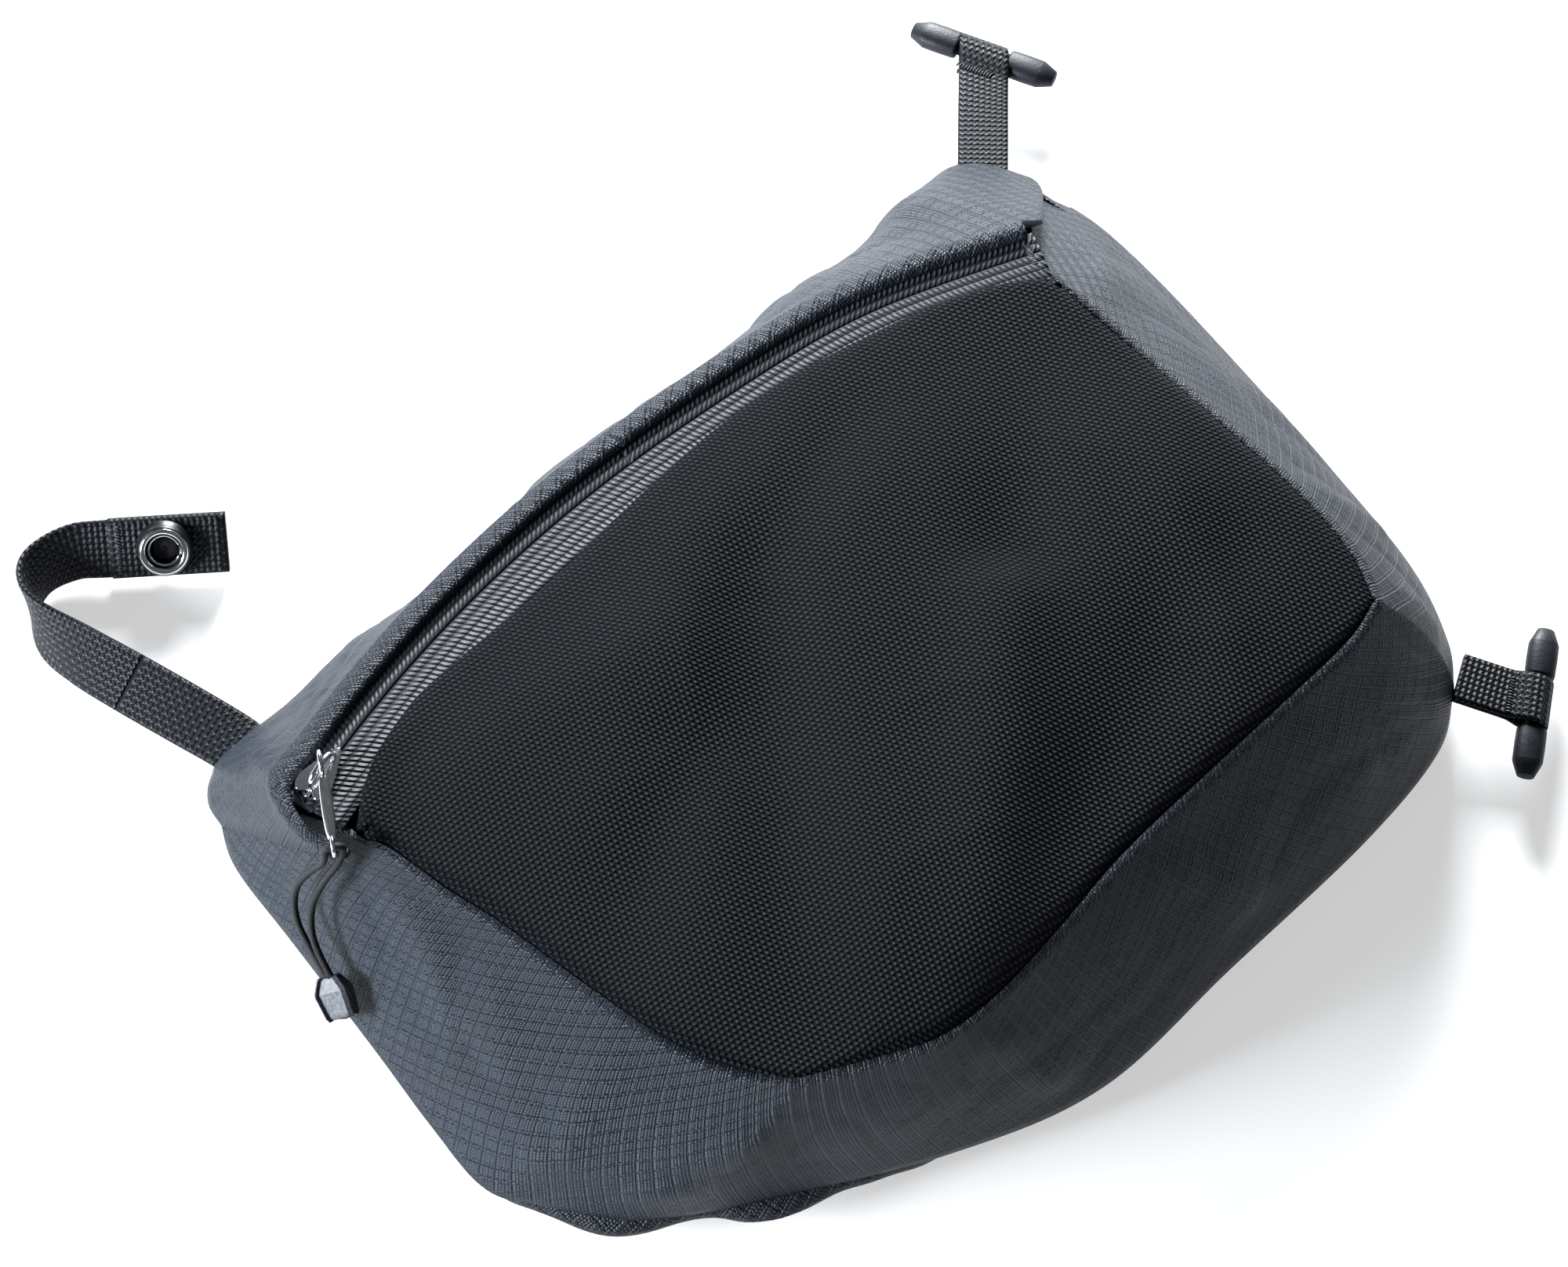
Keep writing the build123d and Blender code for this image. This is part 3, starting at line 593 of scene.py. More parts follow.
SEAM_TOP = [(-111.5, 68, 12), (-110.5, 74, 11.5), (-106.5, 78.5, 11), (-99, 81, 11), (-66, 81.5, 10),
            (-15, 82.5, 10),
            (30, 85.5, 10), (60, 86.5, 10), (78, 88.5, 10), (92, 90.5, 10), (104, 92, 10), (111, 88.5, 10),
            (115, 79, 12)]
SEAM_RIGHT = [(116, 79, 12), (120, 62, 10), (121, 35, 9), (118, -18, 9), (115, -45, 9), (109, -62, 9),
              (103, -70, 9)]
SEAM_BOTTOM = [(103, -70, 9), (91, -78, 9), (66, -83, 9), (26, -86, 9), (-11, -88.5, 9), (-43, -80, 10),
               (-78, -64, 11), (-91, -57, 11)]
SEAM_LEFT = [(-91, -57, 11), (-101, -50, 11), (-112, -37, 11), (-118.5, -27, 11), (-118.5, -10, 11),
             (-117, 10, 10), (-115.5, 39, 10), (-114.5, 59, 10), (-111.5, 69, 11), (-108, 76.5, 11.5)]
EDGE_RIGHT = [(87, 45, 47.5), (89, 40, 47.5), (91, 11, 47), (92.5, -7, 47), (93.7, -27, 47), (93, -44, 47),
              (89, -56.5, 47)]
EDGE_BOTTOM = [(89, -56.5, 47), (79, -59.5, 46.5), (62, -61, 46), (42, -62.5, 46), (14, -65, 46),
               (-8, -69, 46),
               (-26, -71.5, 46), (-39, -71, 46), (-50, -67, 46), (-66, -60, 46.5)]
EDGE_LEFT = [(-66, -60, 46.5), (-74, -51, 46.5), (-80.5, -37.6, 47), (-85, -21, 47), (-90, 2, 47),
             (-93.5, 14, 47),
             (-97, 29, 47), (-102, 40, 47.5)]
EDGE_TOP = [(-98, 35, 47.8), (-88, 43, 48.2), (-77, 47.5, 48.4), (-67, 49.5, 48.5), (-38, 51.5, 48.5),
            (-15, 54.6, 48.5), (8, 57, 48.5),
            (29, 57.0, 48.3), (48, 54.2, 48.2), (67, 50.2, 48.0), (80.5, 44.9, 47.8), (88.5, 39.5, 47.6)]

ZIP_CENTRE, ZIP_RADIUS, ZIP_Z = (-5.0, -227.5), 291.5, 48.0
COLUMNS_TOP, COLUMNS_RIGHT, COLUMNS_BOTTOM, COLUMNS_LEFT = 190, 110, 170, 130
MOUTH_LEFT, MOUTH_RIGHT, MOUTH_MIDDLE = -88.0, 68.0, -6.0
MOUTH_FADE = 46     # from a fixed end of the mouth in to where the lip moves fully


def zip_at(angle, out=0.0, z=ZIP_Z):
    """A point of the zip: angle to the left of its middle in degrees, out away from the front panel."""
    a = math.radians(90 + angle)
    r = ZIP_RADIUS + out + 1.6 * math.exp(-((angle + 11) / 5.0) ** 2)
    return V(ZIP_CENTRE[0] + r * math.cos(a), ZIP_CENTRE[1] + r * math.sin(a), z)


def zip_line(out, z, left=20.4, right=-18.8, count=COLUMNS_TOP):
    return [zip_at(left + (right - left) * i / (count - 1), out, z) for i in range(count)]


# Soft dents and folds in the gusset: two ends of a valley, its width and its depth.
VALLEYS = [
    ((-92, -2, 34), (-100, -16, 26), 5.0, 2.6),
    ((-97, 20, 40), (-104, 0, 30), 5.0, 1.4),
    ((-86, -30, 40), (-104, -34, 20), 5.0, 1.6),
    ((-112, 60, 22), (-104, 38, 40), 5.0, 1.2),
    ((-78, -58, 32), (-96, -48, 16), 5.0, 1.4),
    ((20, -67, 40), (34, -80, 22), 5.5, 1.8),
    ((60, -64, 40), (70, -74, 26), 5.0, 1.2),
    ((92, -55, 40), (101, -60, 26), 4.5, 1.5),
    ((96, -30, 38), (106, -38, 26), 5.0, 1.2),
    ((94, 34, 40), (104, 44, 28), 5.5, 1.1),
    ((-30, -72, 40), (-20, -84, 20), 5.0, 1.4),
]


def dent(p):
    """How far the cloth lies inside its smooth shape at p."""
    depth = 0.0
    for a, b, width, amount in VALLEYS:
        a, b = V(*a), V(*b)
        run = b - a
        t = min(max((p - a).dot(run) / run.length_squared, 0.0), 1.0)
        distance = (p - a - run * t).length
        depth += amount * math.exp(-(distance / width) ** 2)
    return depth


def crumpled(rows, amount, edge=0.08, seed=3.0, scale=26.0):
    """Rows moved along their normals by dents and creases that fade at the first and last row."""
    facing = normals(rows)
    out = []
    for i, row in enumerate(rows):
        t = i / (len(rows) - 1)
        fade = smoothstep(0, edge, t) * smoothstep(0, edge, 1 - t)
        line = []
        for j, (p, n) in enumerate(zip(row, facing[i])):
            soft = noise.noise(p / 34 + V(seed, 0, 0)) * 1.3
            crease = (ridged(p, scale, seed) ** 2 - 0.3) * 0.9 + (ridged(p, scale * 0.45,
                                                                         seed + 5) ** 3 - 0.2) * 0.35
            calm = smoothstep(0, 22, min(j, len(row) - 1 - j))
            line.append(p + n * (fade * calm * (amount * (soft + crease) - dent(p))))
        out.append(line)
    return out


def between(low, high, rows, bulge, end_bulge=None):
    """Rows of points from one outline to another, bulging away from the pouch's middle."""
    end_bulge = bulge if end_bulge is None else end_bulge
    out = []
    for i in range(rows):
        t = i / (rows - 1)
        line = []
        for j, (a, b) in enumerate(zip(low, high)):
            away = V(a.x, a.y, 0).normalized() * 0.8 + V(0, 0, 0.45)
            share = smoothstep(0, 40, min(j, len(low) - 1 - j))
            swell = (end_bulge + (bulge - end_bulge) * share) * math.sin(math.pi * t)
            line.append(a.lerp(b, t) + away * swell)
        out.append(line)
    return out


# --- gusset ---------------------------------------------------------------------------------------

seam_right, seam_bottom, seam_left = (
    smooth_path(p, c) for p, c in
    ((SEAM_RIGHT, COLUMNS_RIGHT), (SEAM_BOTTOM, COLUMNS_BOTTOM), (SEAM_LEFT, COLUMNS_LEFT))
)
seam_top = smooth_path(SEAM_TOP, COLUMNS_TOP)
edge_right, edge_bottom, edge_left = (
    smooth_path(p, c) for p, c in
    ((EDGE_RIGHT, COLUMNS_RIGHT), (EDGE_BOTTOM, COLUMNS_BOTTOM), (EDGE_LEFT, COLUMNS_LEFT))
)


def chain(*lines):
    """Lines end to end, with each shared point once."""
    out = list(lines[0])
    for line in lines[1:]:
        out += line[1:]
    return out


seam_gusset = chain(seam_right, seam_bottom, seam_left)
edge_gusset = chain(edge_right, edge_bottom, edge_left)
gusset_rows = crumpled(between(seam_gusset, edge_gusset, 34, 2.6, 1.3), 0.7, edge=0.3)
# The last rows tuck down into the seam with the front panel, and the first ones into the back seam.
tuck_front = [p + V(-p.x, -p.y, 0).normalized() * 0.9 + V(0, 0, -2.2) for p in gusset_rows[-1]]
tuck_back = [p + V(-p.x, -p.y, 0).normalized() * 1.6 + V(0, 0, -0.4) for p in gusset_rows[0]]
gusset_rows = [tuck_back] + gusset_rows + [tuck_front]


def lift_ends(rows, left, right, reach=16):
    """Raises both ends of each row, so that the folded hems lie over the top strip."""
    facing = normals(rows)
    out = []
    for row, face in zip(rows, facing):
        line = []
        for j, (p, n) in enumerate(zip(row, face)):
            amount = left * smoothstep(reach, 0, len(row) - 1 - j) + right * smoothstep(reach, 0, j)
            line.append(p + n * amount)
        out.append(line)
    return out


gusset_rows = lift_ends(gusset_rows, 1.1, 2.0)
gusset = grid("gusset", gusset_rows, "ripstop", thickness=1.1)
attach(gusset, "bag")
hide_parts("side_gusset", "gusset_hem_left", "gusset_hem_right")


def column_path(rows, index, i0, i1, lift=0.1):
    """A line up one column of a grid, with its normals, for a row of stitches."""
    facing = normals(rows)
    return [rows[i][index] + facing[i][index] * lift for i in range(i0,
                                                                    i1)], [facing[i][index] for i in range(i0,
                                                                                                           i1)]


hem_stitches = []
for index in (3, len(gusset_rows[0]) - 4, len(gusset_rows[0]) - 7):
    hem_stitches.append(stitches(f"hem_stitches_{index}", *column_path(gusset_rows, index, 2, 35)))
hem_stitching = join("hem_stitching", hem_stitches)
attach(hem_stitching, "bag")

# --- top strip ------------------------------------------------------------------------------------

# Past the closed end of the zip the strip carries on under the hem: place and outward direction.
STRIP_END = [((-104.5, 33, 46.6), (-1, 0.1)), ((-107, 39, 47.2), (-1, 0.1)), ((-108, 45, 47.8), (-0.9, 0.44))]


# Lobes of the cloth along the top: middle, half width, height.
TOP_LOBES = [(86, 9, 3.2), (50, 12, 1.8), (-18, 14, 1.6), (-72, 11, 2.2)]


def strip_line(out, z):
    """A line along the strip's edge, out from the zip's middle line."""
    line = [V(x + dx * (out - 8) * 0.35, y + dy * (out - 8) * 0.35, height + z - 48.4)
            for (x, y, height), (dx, dy) in STRIP_END]
    line += [zip_at(angle, out, z) for angle in (19.6, 17.5, 14, 10, 5, 0, -5, -10, -14, -17, -18.9)]
    return smooth_path(line, COLUMNS_TOP)


fold = strip_line(8.0, 48.4)
wall = between(seam_top, fold, 26, 1.2)
for i, row in enumerate(wall):
    for p in row:
        lobes = sum(size * math.exp(-((p.x - x) / width) ** 2) for x, width, size in TOP_LOBES)
        p += V(0, 0.95, 0.3) * (lobes * math.sin(math.pi * i / 25))
wall = crumpled(wall, 0.8, edge=0.16, seed=11.0, scale=17.0)
for i, row in enumerate(wall):
    # Its right end runs on under the folded hem.
    for j, p in enumerate(row):
        under = smoothstep(16, 0, len(row) - 1 - j) * math.sin(math.pi * min(i / 25, 0.8) / 1.6) ** 0.5
        p += V(4.0, -2.8, -1.8) * under
tuck = [p + V(0, -1.6, -0.4) for p in wall[0]]
lip_rows = [strip_line(out, z) for out, z in ((6.9, 48.9), (5.8, 49.1), (5.0, 49.0), (4.5, 48.6), (4.4, 48.0),
                                              (4.9, 47.6), (6.4, 47.4))]
strip_rows = [tuck] + wall + lip_rows


def halves(rows):
    """The same rows cut at the middle of the mouth, which both halves share."""
    middle = min(range(len(rows[0])), key=lambda j: abs(rows[-1][j].x - MOUTH_MIDDLE))
    return [row[:middle + 1] for row in rows], [row[middle:] for row in rows]


def open_with_mouth(left, right, fade=MOUTH_FADE):
    """Bakes both halves' placements into their meshes."""
    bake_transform(left)
    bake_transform(right)


def mouth_pieces(name, rows, material, slot, nodes, **options):
    made = []
    for side, part in zip(("left", "right"), halves(rows)):
        piece = grid(f"{name}_{side}", part, material, **options)
        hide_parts(*nodes)
        made.append(piece)
    open_with_mouth(*made)
    return made


mouth_pieces("top_strip", strip_rows, "ripstop", "ripstop", ("top_strip", "top_strip_ends"), thickness=0.9)
for side, part in zip(("left", "right"), halves([strip_line(6.5, 49.1)[22:]])):
    row = stitches(f"lip_stitches_{side}", part[0], [V(0, 0, 1)] * len(part[0]), length=1.9, radius=0.22)
    if side == "left":
        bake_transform(row)
    else:
        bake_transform(row)

# --- zip tapes and coils --------------------------------------------------------------------------


def tape_rows(outs):
    return [zip_line(out, 48.25 - 0.3 * abs(math.cos(out * math.pi / 2.1)) - 0.5 * smoothstep(3.4, 5.0, out)
                     - 0.6 * smoothstep(4.2, 6.0, -out), 19.9, -19.2) for out in outs]


UPPER_OUTS = [0.12, 0.35, 0.9, 1.4, 1.9, 2.1, 2.3, 2.8, 3.4, 4.2, 5.0]
LOWER_OUTS = [-9.5, -7.0, -5.0, -4.2, -3.4, -2.8, -2.3, -2.1, -1.9, -1.4, -0.9, -0.35, -0.12]
mouth_pieces("tape_upper", tape_rows(UPPER_OUTS), "tape", "zip_tape",
             ("zip_tape_upper", "zip_tape_upper_ends"),
             thickness=0.5, v0=0.00012)
tape_lower = grid("tape_lower", tape_rows(LOWER_OUTS), "tape", thickness=0.5, v0=-0.0095)
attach(tape_lower, "bag")
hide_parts("zip_tape_lower")


def coil(name, side, left, right):
    """A nylon coil under a tape: a wire that winds round the zip's line."""
    turns, steps = int((left - right) * math.pi / 180 * ZIP_RADIUS / 1.35), 10
    path = []
    for i in range(turns * steps):
        angle = left + (right - left) * i / (turns * steps - 1)
        q = 2 * math.pi * i / steps
        path.append(zip_at(angle, side * (1.35 + 1.0 * math.cos(q)), 46.1 + 0.7 * math.sin(q)))
    ring = 6
    verts, faces = [], []
    for i, p in enumerate(path):
        along = (path[min(i + 1, len(path) - 1)] - path[max(i - 1, 0)]).normalized()
        a = along.orthogonal().normalized()
        b = along.cross(a)
        if i:
            a = (before - along * before.dot(along)).normalized()
            b = along.cross(a)
        before = a
        for k in range(ring):
            q = 2 * math.pi * k / ring
            verts.append(p + (a * math.cos(q) + b * math.sin(q)) * 0.3)
    for i in range(len(path) - 1):
        for k in range(ring):
            m = (k + 1) % ring
            faces.append((i * ring + k, i * ring + m, (i + 1) * ring + m, (i + 1) * ring + k))
    faces += [tuple(range(ring - 1, -1, -1)), tuple(range(len(verts) - ring, len(verts)))]
    piece = build(name, verts, faces, "coil")
    return piece


coil_lower = coil("coil_lower", -1, 19.6, -18.5)
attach(coil_lower, "bag")
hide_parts("zip_coil_lower")
coil_left, coil_right = coil("coil_upper_left", 1, 19.6, 0.2), coil("coil_upper_right", 1, 0.2, -18.5)
for piece in (coil_left, coil_right):
    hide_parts("zip_coil_upper", "zip_coil_upper_ends")
open_with_mouth(coil_left, coil_right)

# --- front panel ----------------------------------------------------------------------------------

PANEL_COLUMNS, PANEL_ROWS = 190, 120
panel_top = smooth_path(EDGE_TOP, PANEL_COLUMNS)
panel_bottom = smooth_path(list(reversed(EDGE_BOTTOM)), PANEL_COLUMNS)
panel_left = smooth_path([EDGE_TOP[0]] + list(reversed(EDGE_LEFT[:-1])), PANEL_ROWS)
panel_right = smooth_path([EDGE_TOP[-1]] + EDGE_RIGHT[2:], PANEL_ROWS)

PANEL_FOLDS = [((-60, -56), (-10, 20), 13, 1.5), ((-20, -64), (30, -10), 10, -1.1),
               ((10, -58), (70, -30), 12, 1.3),
               ((78, 34), (40, -2), 11, 1.2), ((-76, 36), (-30, 30), 12, -0.8), ((86, 6), (60, -40), 9, -1.0),
               ((-80, -20), (-40, 5), 10, 0.9), ((40, 46), (0, 30), 9, 1.0)]


def panel_height(s, t, p):
    """The dome over the panel's edges, with its broad soft folds."""
    dome = (1 - abs(2 * s - 1) ** 3.2) * (1 - abs(2 * t - 1) ** 3.0)
    height = 6.0 * max(dome, 0) ** 0.8
    for a, b, width, depth in PANEL_FOLDS:
        a, b, q = V(*a, 0), V(*b, 0), V(p.x, p.y, 0)
        run = b - a
        k = min(max((q - a).dot(run) / run.length_squared, 0.0), 1.0)
        height -= 2.5 * depth * math.exp(-((q - a - run * k).length / width) ** 2) * max(dome, 0)
    # It stays low where the puller and its cord lie with the zip open.
    height *= 1 - 0.85 * math.exp(-(((p.x - 72) / 26) ** 2 + ((p.y - 38) / 20) ** 2))
    height += noise.noise(V(p.x, p.y, 5) / 30) * 0.8 * dome + ridged(V(p.x, p.y, 2), 38, 8) ** 2 * 0.4 * dome
    return height


def panel_rows():
    rows = []
    a, b, c, d = panel_top[0], panel_top[-1], panel_bottom[0], panel_bottom[-1]
    for i in range(PANEL_ROWS):
        t = i / (PANEL_ROWS - 1)
        row = []
        for j in range(PANEL_COLUMNS):
            s = j / (PANEL_COLUMNS - 1)
            p = (panel_top[j] * (1 - t) + panel_bottom[j] * t + panel_left[i] * (1 - s) + panel_right[i] * s
                 - a * (1 - s) * (1 - t) - b * s * (1 - t) - c * (1 - s) * t - d * s * t)
            row.append(p + V(0, 0, panel_height(s, t, p)))
        rows.append(row)
    return rows


base_rows = panel_rows()
# Its zip edge is folded under; the other edges tuck into the seam with the gusset.
folded = [[p + V(0, out, drop) for p in base_rows[0]] for out,
          drop in ((-1.4, -1.9), (-0.1, -1.8), (0.2, -1.0), (0.2, -0.3))]
dipped = []
for i, row in enumerate(base_rows):
    line = []
    for j, p in enumerate(row):
        near = min(j, len(row) - 1 - j, len(base_rows) - 1 - i)
        line.append(p + V(0, 0, -2.0 * math.exp(-(near / 1.8) ** 2)))
    dipped.append(line)
front_rows = folded + dipped
front = grid("front_panel_cloth", front_rows, "weave", thickness=1.5)
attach(front, "bag")
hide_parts("front_panel")

panel_normals = normals(dipped)
panel_stitches = []
for row in (1, 4):
    line = [dipped[row][j] + V(0, 0, 0.1) for j in range(3, PANEL_COLUMNS - 3)]
    ups = [-panel_normals[row][j] if panel_normals[row][j].z < 0 else panel_normals[row][j] for j in range(3,
                                                                                                           PANEL_COLUMNS - 3)]
    panel_stitches.append(stitches(f"panel_stitches_{row}", line, ups, length=2.0, gap=0.9, radius=0.26))
panel_stitching = join("panel_stitching", panel_stitches)
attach(panel_stitching, "bag")

# --- back panel -----------------------------------------------------------------------------------


def merged_seam(count):
    """The whole back seam as one closed loop, clockwise from the left end of the top."""
    return resample(chain(seam_top, seam_right, seam_bottom, seam_left), count + 1)[:-1]


def back_bulge(p):
    """How far the back panel swells out past the seam: most along the lower left edge, in scallops."""
    lower_left = math.exp(-((p.x + 92) / 36) ** 2) * smoothstep(-20, -38, p.y)
    scallop = 0.75 + 0.45 * math.sin(p.x / 6.5) * math.sin(p.x / 15 + 1)
    lobe = 2.2 * math.exp(-((p.x - 98) / 10) ** 2) * smoothstep(40, 80, p.y)
    return 6.4 * lower_left * scallop + lobe - 1.8


BACK_ROWS = 26


def back_rows(count=420):
    loop = merged_seam(count)
    rows = []
    for out, z, share in ((-1.8, 0.6, 0.0), (-0.2, -0.4, 0.3), (0.6, -1.8, 1.0), (0.4, -4.0, 1.15),
                          (-2.4, -6.2, 1.0),
                          (-8, -8.0, 0.55), (-15, -9.2, 0.2), (-24, None, 0)):
        row = []
        for p in loop:
            away = V(p.x, p.y, 0).normalized()
            swell = back_bulge(p) * share
            height = 0.35 if z is None else max(p.z + z, 0.5)
            lump = noise.noise(p / 9 + V(4, 0, 0)) * 0.7 * (share > 0)
            row.append(V(p.x, p.y, 0) + away * (out + swell + lump) + V(0, 0, height))
        rows.append(row)
    columns = [smooth_path([row[j] for row in rows], BACK_ROWS) for j in range(count)]
    rows = [[column[i] for column in columns] for i in range(BACK_ROWS)]
    inner = rows[-1]
    for step in range(1, 15):
        k = 1 - step / 14.02
        rows.append([V(p.x * k, p.y * k, 0.35 + noise.noise(V(p.x * k, p.y * k,
                                                              9) / 22) * 0.2) for p in inner])
    return rows


back_panel = grid("back_panel_cloth", back_rows(), "ripstop_back", thickness=1.1, closed=True)
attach(back_panel, "bag")
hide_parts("back_panel")

# --- seam bindings inside -------------------------------------------------------------------------


def binding(name, line, inward, z, node):
    """Folded tape over a raw seam edge, all round inside the pouch."""
    path = [p + V(-p.x, -p.y, 0).normalized() * inward + V(0, 0, z) for p in line]
    path = resample(path, len(path) // 2)
    ups = [V(-p.x, -p.y, 0).normalized() for p in path]
    piece = ribbon(name, path, ups, 4.0, 0.9, "binding")
    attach(piece, "bag")
    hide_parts(node)


binding("binding_front", edge_gusset[12:-12], 3.6, -3.8, "front_seam_binding")
binding("binding_back", seam_gusset, 4.8, 3.4, "back_seam_binding")

# --- bar tacks across the ends of the zip ---------------------------------------------------------


def bar_tack(name, place, width, depth, count=9, radius=0.2, height=0.0):
    """Close zigzag stitches that fill a bar: place is a matrix with x along the bar and z out of the cloth."""
    verts, faces = [], []
    for i in range(count):
        x = -width / 2 + width * (i + 0.5) / count
        a, b = place @ V(x - 0.15, -depth / 2, height), place @ V(x + 0.15, depth / 2, height)
        up = (place.to_3x3() @ V(0, 0, 1)).normalized()
        capsule(verts, faces, a, b, up, radius)
    return build(name, verts, faces, "stitch")


tacks = []
for k, angle in enumerate((19.85, -18.75)):
    p = zip_at(angle, 0, 47.9)
    q = math.radians(angle)
    place = Matrix.Translation(p) @ Matrix.Rotation(q + math.pi / 2, 4, "Z")
    tacks.append(bar_tack(f"stop_{k}", place, 5.2, 1.4, 11, 0.22))
stops = join("zip_stop_tacks", tacks)
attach(stops, "bag")
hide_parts("zip_stops")

# --- slider, arch and puller ----------------------------------------------------------------------

SLIDER_ANGLE = math.radians(18.4)
slider_place = (Matrix.Translation(V(ZIP_CENTRE[0] + ZIP_RADIUS * math.cos(math.pi / 2 + SLIDER_ANGLE),
                                     ZIP_CENTRE[1] + ZIP_RADIUS * math.sin(math.pi / 2 + SLIDER_ANGLE),
                                     ZIP_Z))
                @ Matrix.Rotation(SLIDER_ANGLE, 4, "Z"))


def plate(name, outline, z, thickness, place, material, bevel=0.3):
    """A plate with rounded rims, from a closed outline in its own plane."""
    verts = [V(x, y, z + h) for h in (0, thickness) for x, y in outline]
    n = len(outline)
    faces = [tuple(range(n - 1, -1, -1)), tuple(range(n, 2 * n))]
    faces += [(k, (k + 1) % n, n + (k + 1) % n, n + k) for k in range(n)]
    obj = build(name, [place @ v for v in verts], faces, material)
    return bake(obj, ("BEVEL", {"width": bevel / 1000, "segments": 3, "limit_method": "ANGLE",
                                "angle_limit": 0.5}))


def rod(name, path, radii, place, material, ring=14, flat=1.0, closed=False):
    """A rod that follows a path in its own frame, with a radius at each point."""
    count = len(path)
    verts, faces, before = [], [], None
    for i, p in enumerate(path):
        ahead = path[(i + 1) % count] if closed else path[min(i + 1, count - 1)]
        behind = path[i - 1] if closed or i else path[0]
        along = (ahead - behind).normalized()
        a = (before - along * before.dot(along)).normalized() if before else along.cross(V(0, 0,
                                                                                           1)).normalized()
        if a.length < 0.5:
            a = along.orthogonal().normalized()
        b = along.cross(a)
        before = a
        for k in range(ring):
            q = 2 * math.pi * k / ring
            verts.append(place @ (p + (a * math.cos(q) + b * math.sin(q) * flat) * radii[i]))
    for i in range(count if closed else count - 1):
        for k in range(ring):
            m, j = (k + 1) % ring, (i + 1) % count
            faces.append((i * ring + k, i * ring + m, j * ring + m, j * ring + k))
    if not closed:
        faces += [tuple(range(ring - 1, -1, -1)), tuple(range((count - 1) * ring, count * ring))]
    return build(name, verts, faces, material)


def rounded(points, steps=6, reach=0.9):
    """A closed outline with its corners rounded."""
    out = []
    n = len(points)
    for i in range(n):
        before, corner, after = V(*points[i - 1]), V(*points[i]), V(*points[(i + 1) % n])
        a = corner + (before - corner).normalized() * reach
        b = corner + (after - corner).normalized() * reach
        for k in range(steps + 1):
            t = k / steps
            out.append(((a.lerp(corner, t)).lerp(corner.lerp(b, t), t))[:2])
    return out


TOP_PLATE = rounded([(-6.0, -2.2), (-4.8, -3.5), (-2.6, -3.8), (0.4, -2.8), (5.2, -1.0), (6.4, 0), (5.2, 1.0),
                     (0.4, 2.8),
                     (-2.6, 3.8), (-4.8, 3.5), (-6.0, 2.2), (-4.4, 0)], 4, 0.7)
LOW_PLATE = rounded([(-6.3, -2.6), (-4.8, -4.0), (0, -4.0), (6.2, -3.1), (6.2, 3.1), (0, 4.0), (-4.8, 4.0),
                     (-6.3, 2.6)], 4, 0.9)
slider = join("slider_body", [
    plate("slider_top", TOP_PLATE, 0.6, 1.2, slider_place, "chrome"),
    plate("slider_low", LOW_PLATE, -4.5, 1.1, slider_place, "chrome"),
    plate("slider_wedge", [(-5.9, -0.4), (-1.6, -0.3), (-1.6, 0.3), (-5.9, 0.4)], -3.6, 4.4, slider_place,
          "chrome", 0.15),
    plate("slider_rail_a", [(-3.6, 3.1), (0.5, 3.1), (0.5, 3.8), (-3.6, 3.8)], -3.6, 2.2, slider_place,
          "chrome", 0.15),
    plate("slider_rail_b", [(-3.6, -3.8), (0.5, -3.8), (0.5, -3.1), (-3.6, -3.1)], -3.6, 2.2, slider_place,
          "chrome", 0.15),
])
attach(slider, "slider")
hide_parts("zip_slider")

arch_path = smooth_path([(-4.0, 0, 1.4), (-3.9, 0, 3.4), (-3.0, 0, 4.9), (-1.4, 0, 5.45), (1.0, 0, 5.4),
                         (2.8, 0, 4.6), (3.9, 0, 3.0), (4.2, 0, 1.4)], 40)
arch = rod("slider_arch", arch_path, [0.62 + 0.15 * abs(2 * i / 39 - 1) ** 3 for i in range(40)],
           slider_place, "chrome", flat=0.75)
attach(arch, "slider")
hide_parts("slider_bridge")

PULLER_AZIMUTH, PULLER_DROP, PULLER_LENGTH = math.radians(240), math.radians(4), 17.5
pivot = slider_place @ V(0, 0, 5.25)
puller_place = Matrix.Translation(pivot) @ Matrix.Rotation(PULLER_AZIMUTH, 4,
                                                           "Z") @ Matrix.Rotation(PULLER_DROP, 4, "Y")


def ring_path(x, radius_x, radius_z, count=30):
    return [V(x + radius_x * math.cos(2 * math.pi * k / count), 0,
              radius_z * math.sin(2 * math.pi * k / count))
            for k in range(count)]


bar_path = [V(2.4 + (PULLER_LENGTH - 4.0) * i / 23, 0, 0) for i in range(24)]
bar_radii = [1.0 + 0.28 * math.sin(math.pi * i / 23) - 0.25 * abs(2 * i / 23 - 1) ** 6 for i in range(24)]
puller = join("puller_bar", [
    rod("puller_eye", ring_path(0, 2.55, 2.55), [0.48] * 30, puller_place, "chrome", closed=True),
    rod("puller_shank", bar_path, bar_radii, puller_place, "chrome", ring=18, flat=0.66),
    rod("puller_cord_eye", ring_path(PULLER_LENGTH, 1.85, 1.85), [0.45] * 30, puller_place, "chrome",
        closed=True),
])
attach(puller, "puller")
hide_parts("puller_bail")

# --- cord and its end -----------------------------------------------------------------------------

curve = bpy.data.curves.new("puller_cord_line", "CURVE")
curve.dimensions = "3D"
line = curve.splines.new("NURBS")
line.points.add(len(CORD_ROUTE) - 1)
for point, place in zip(line.points, CORD_ROUTE):
    point.co = (*mm(*place), 1)
line.order_u = 3
line.use_endpoint_u = True
curve.bevel_depth = CORD_DIAMETER / 2
curve.bevel_resolution = 5
curve.resolution_u = 16
curve.use_fill_caps = True
curve.materials.append(MATERIALS["cord"])
cord = bpy.data.objects.new("puller_cord_line", curve)
bpy.context.collection.objects.link(cord)

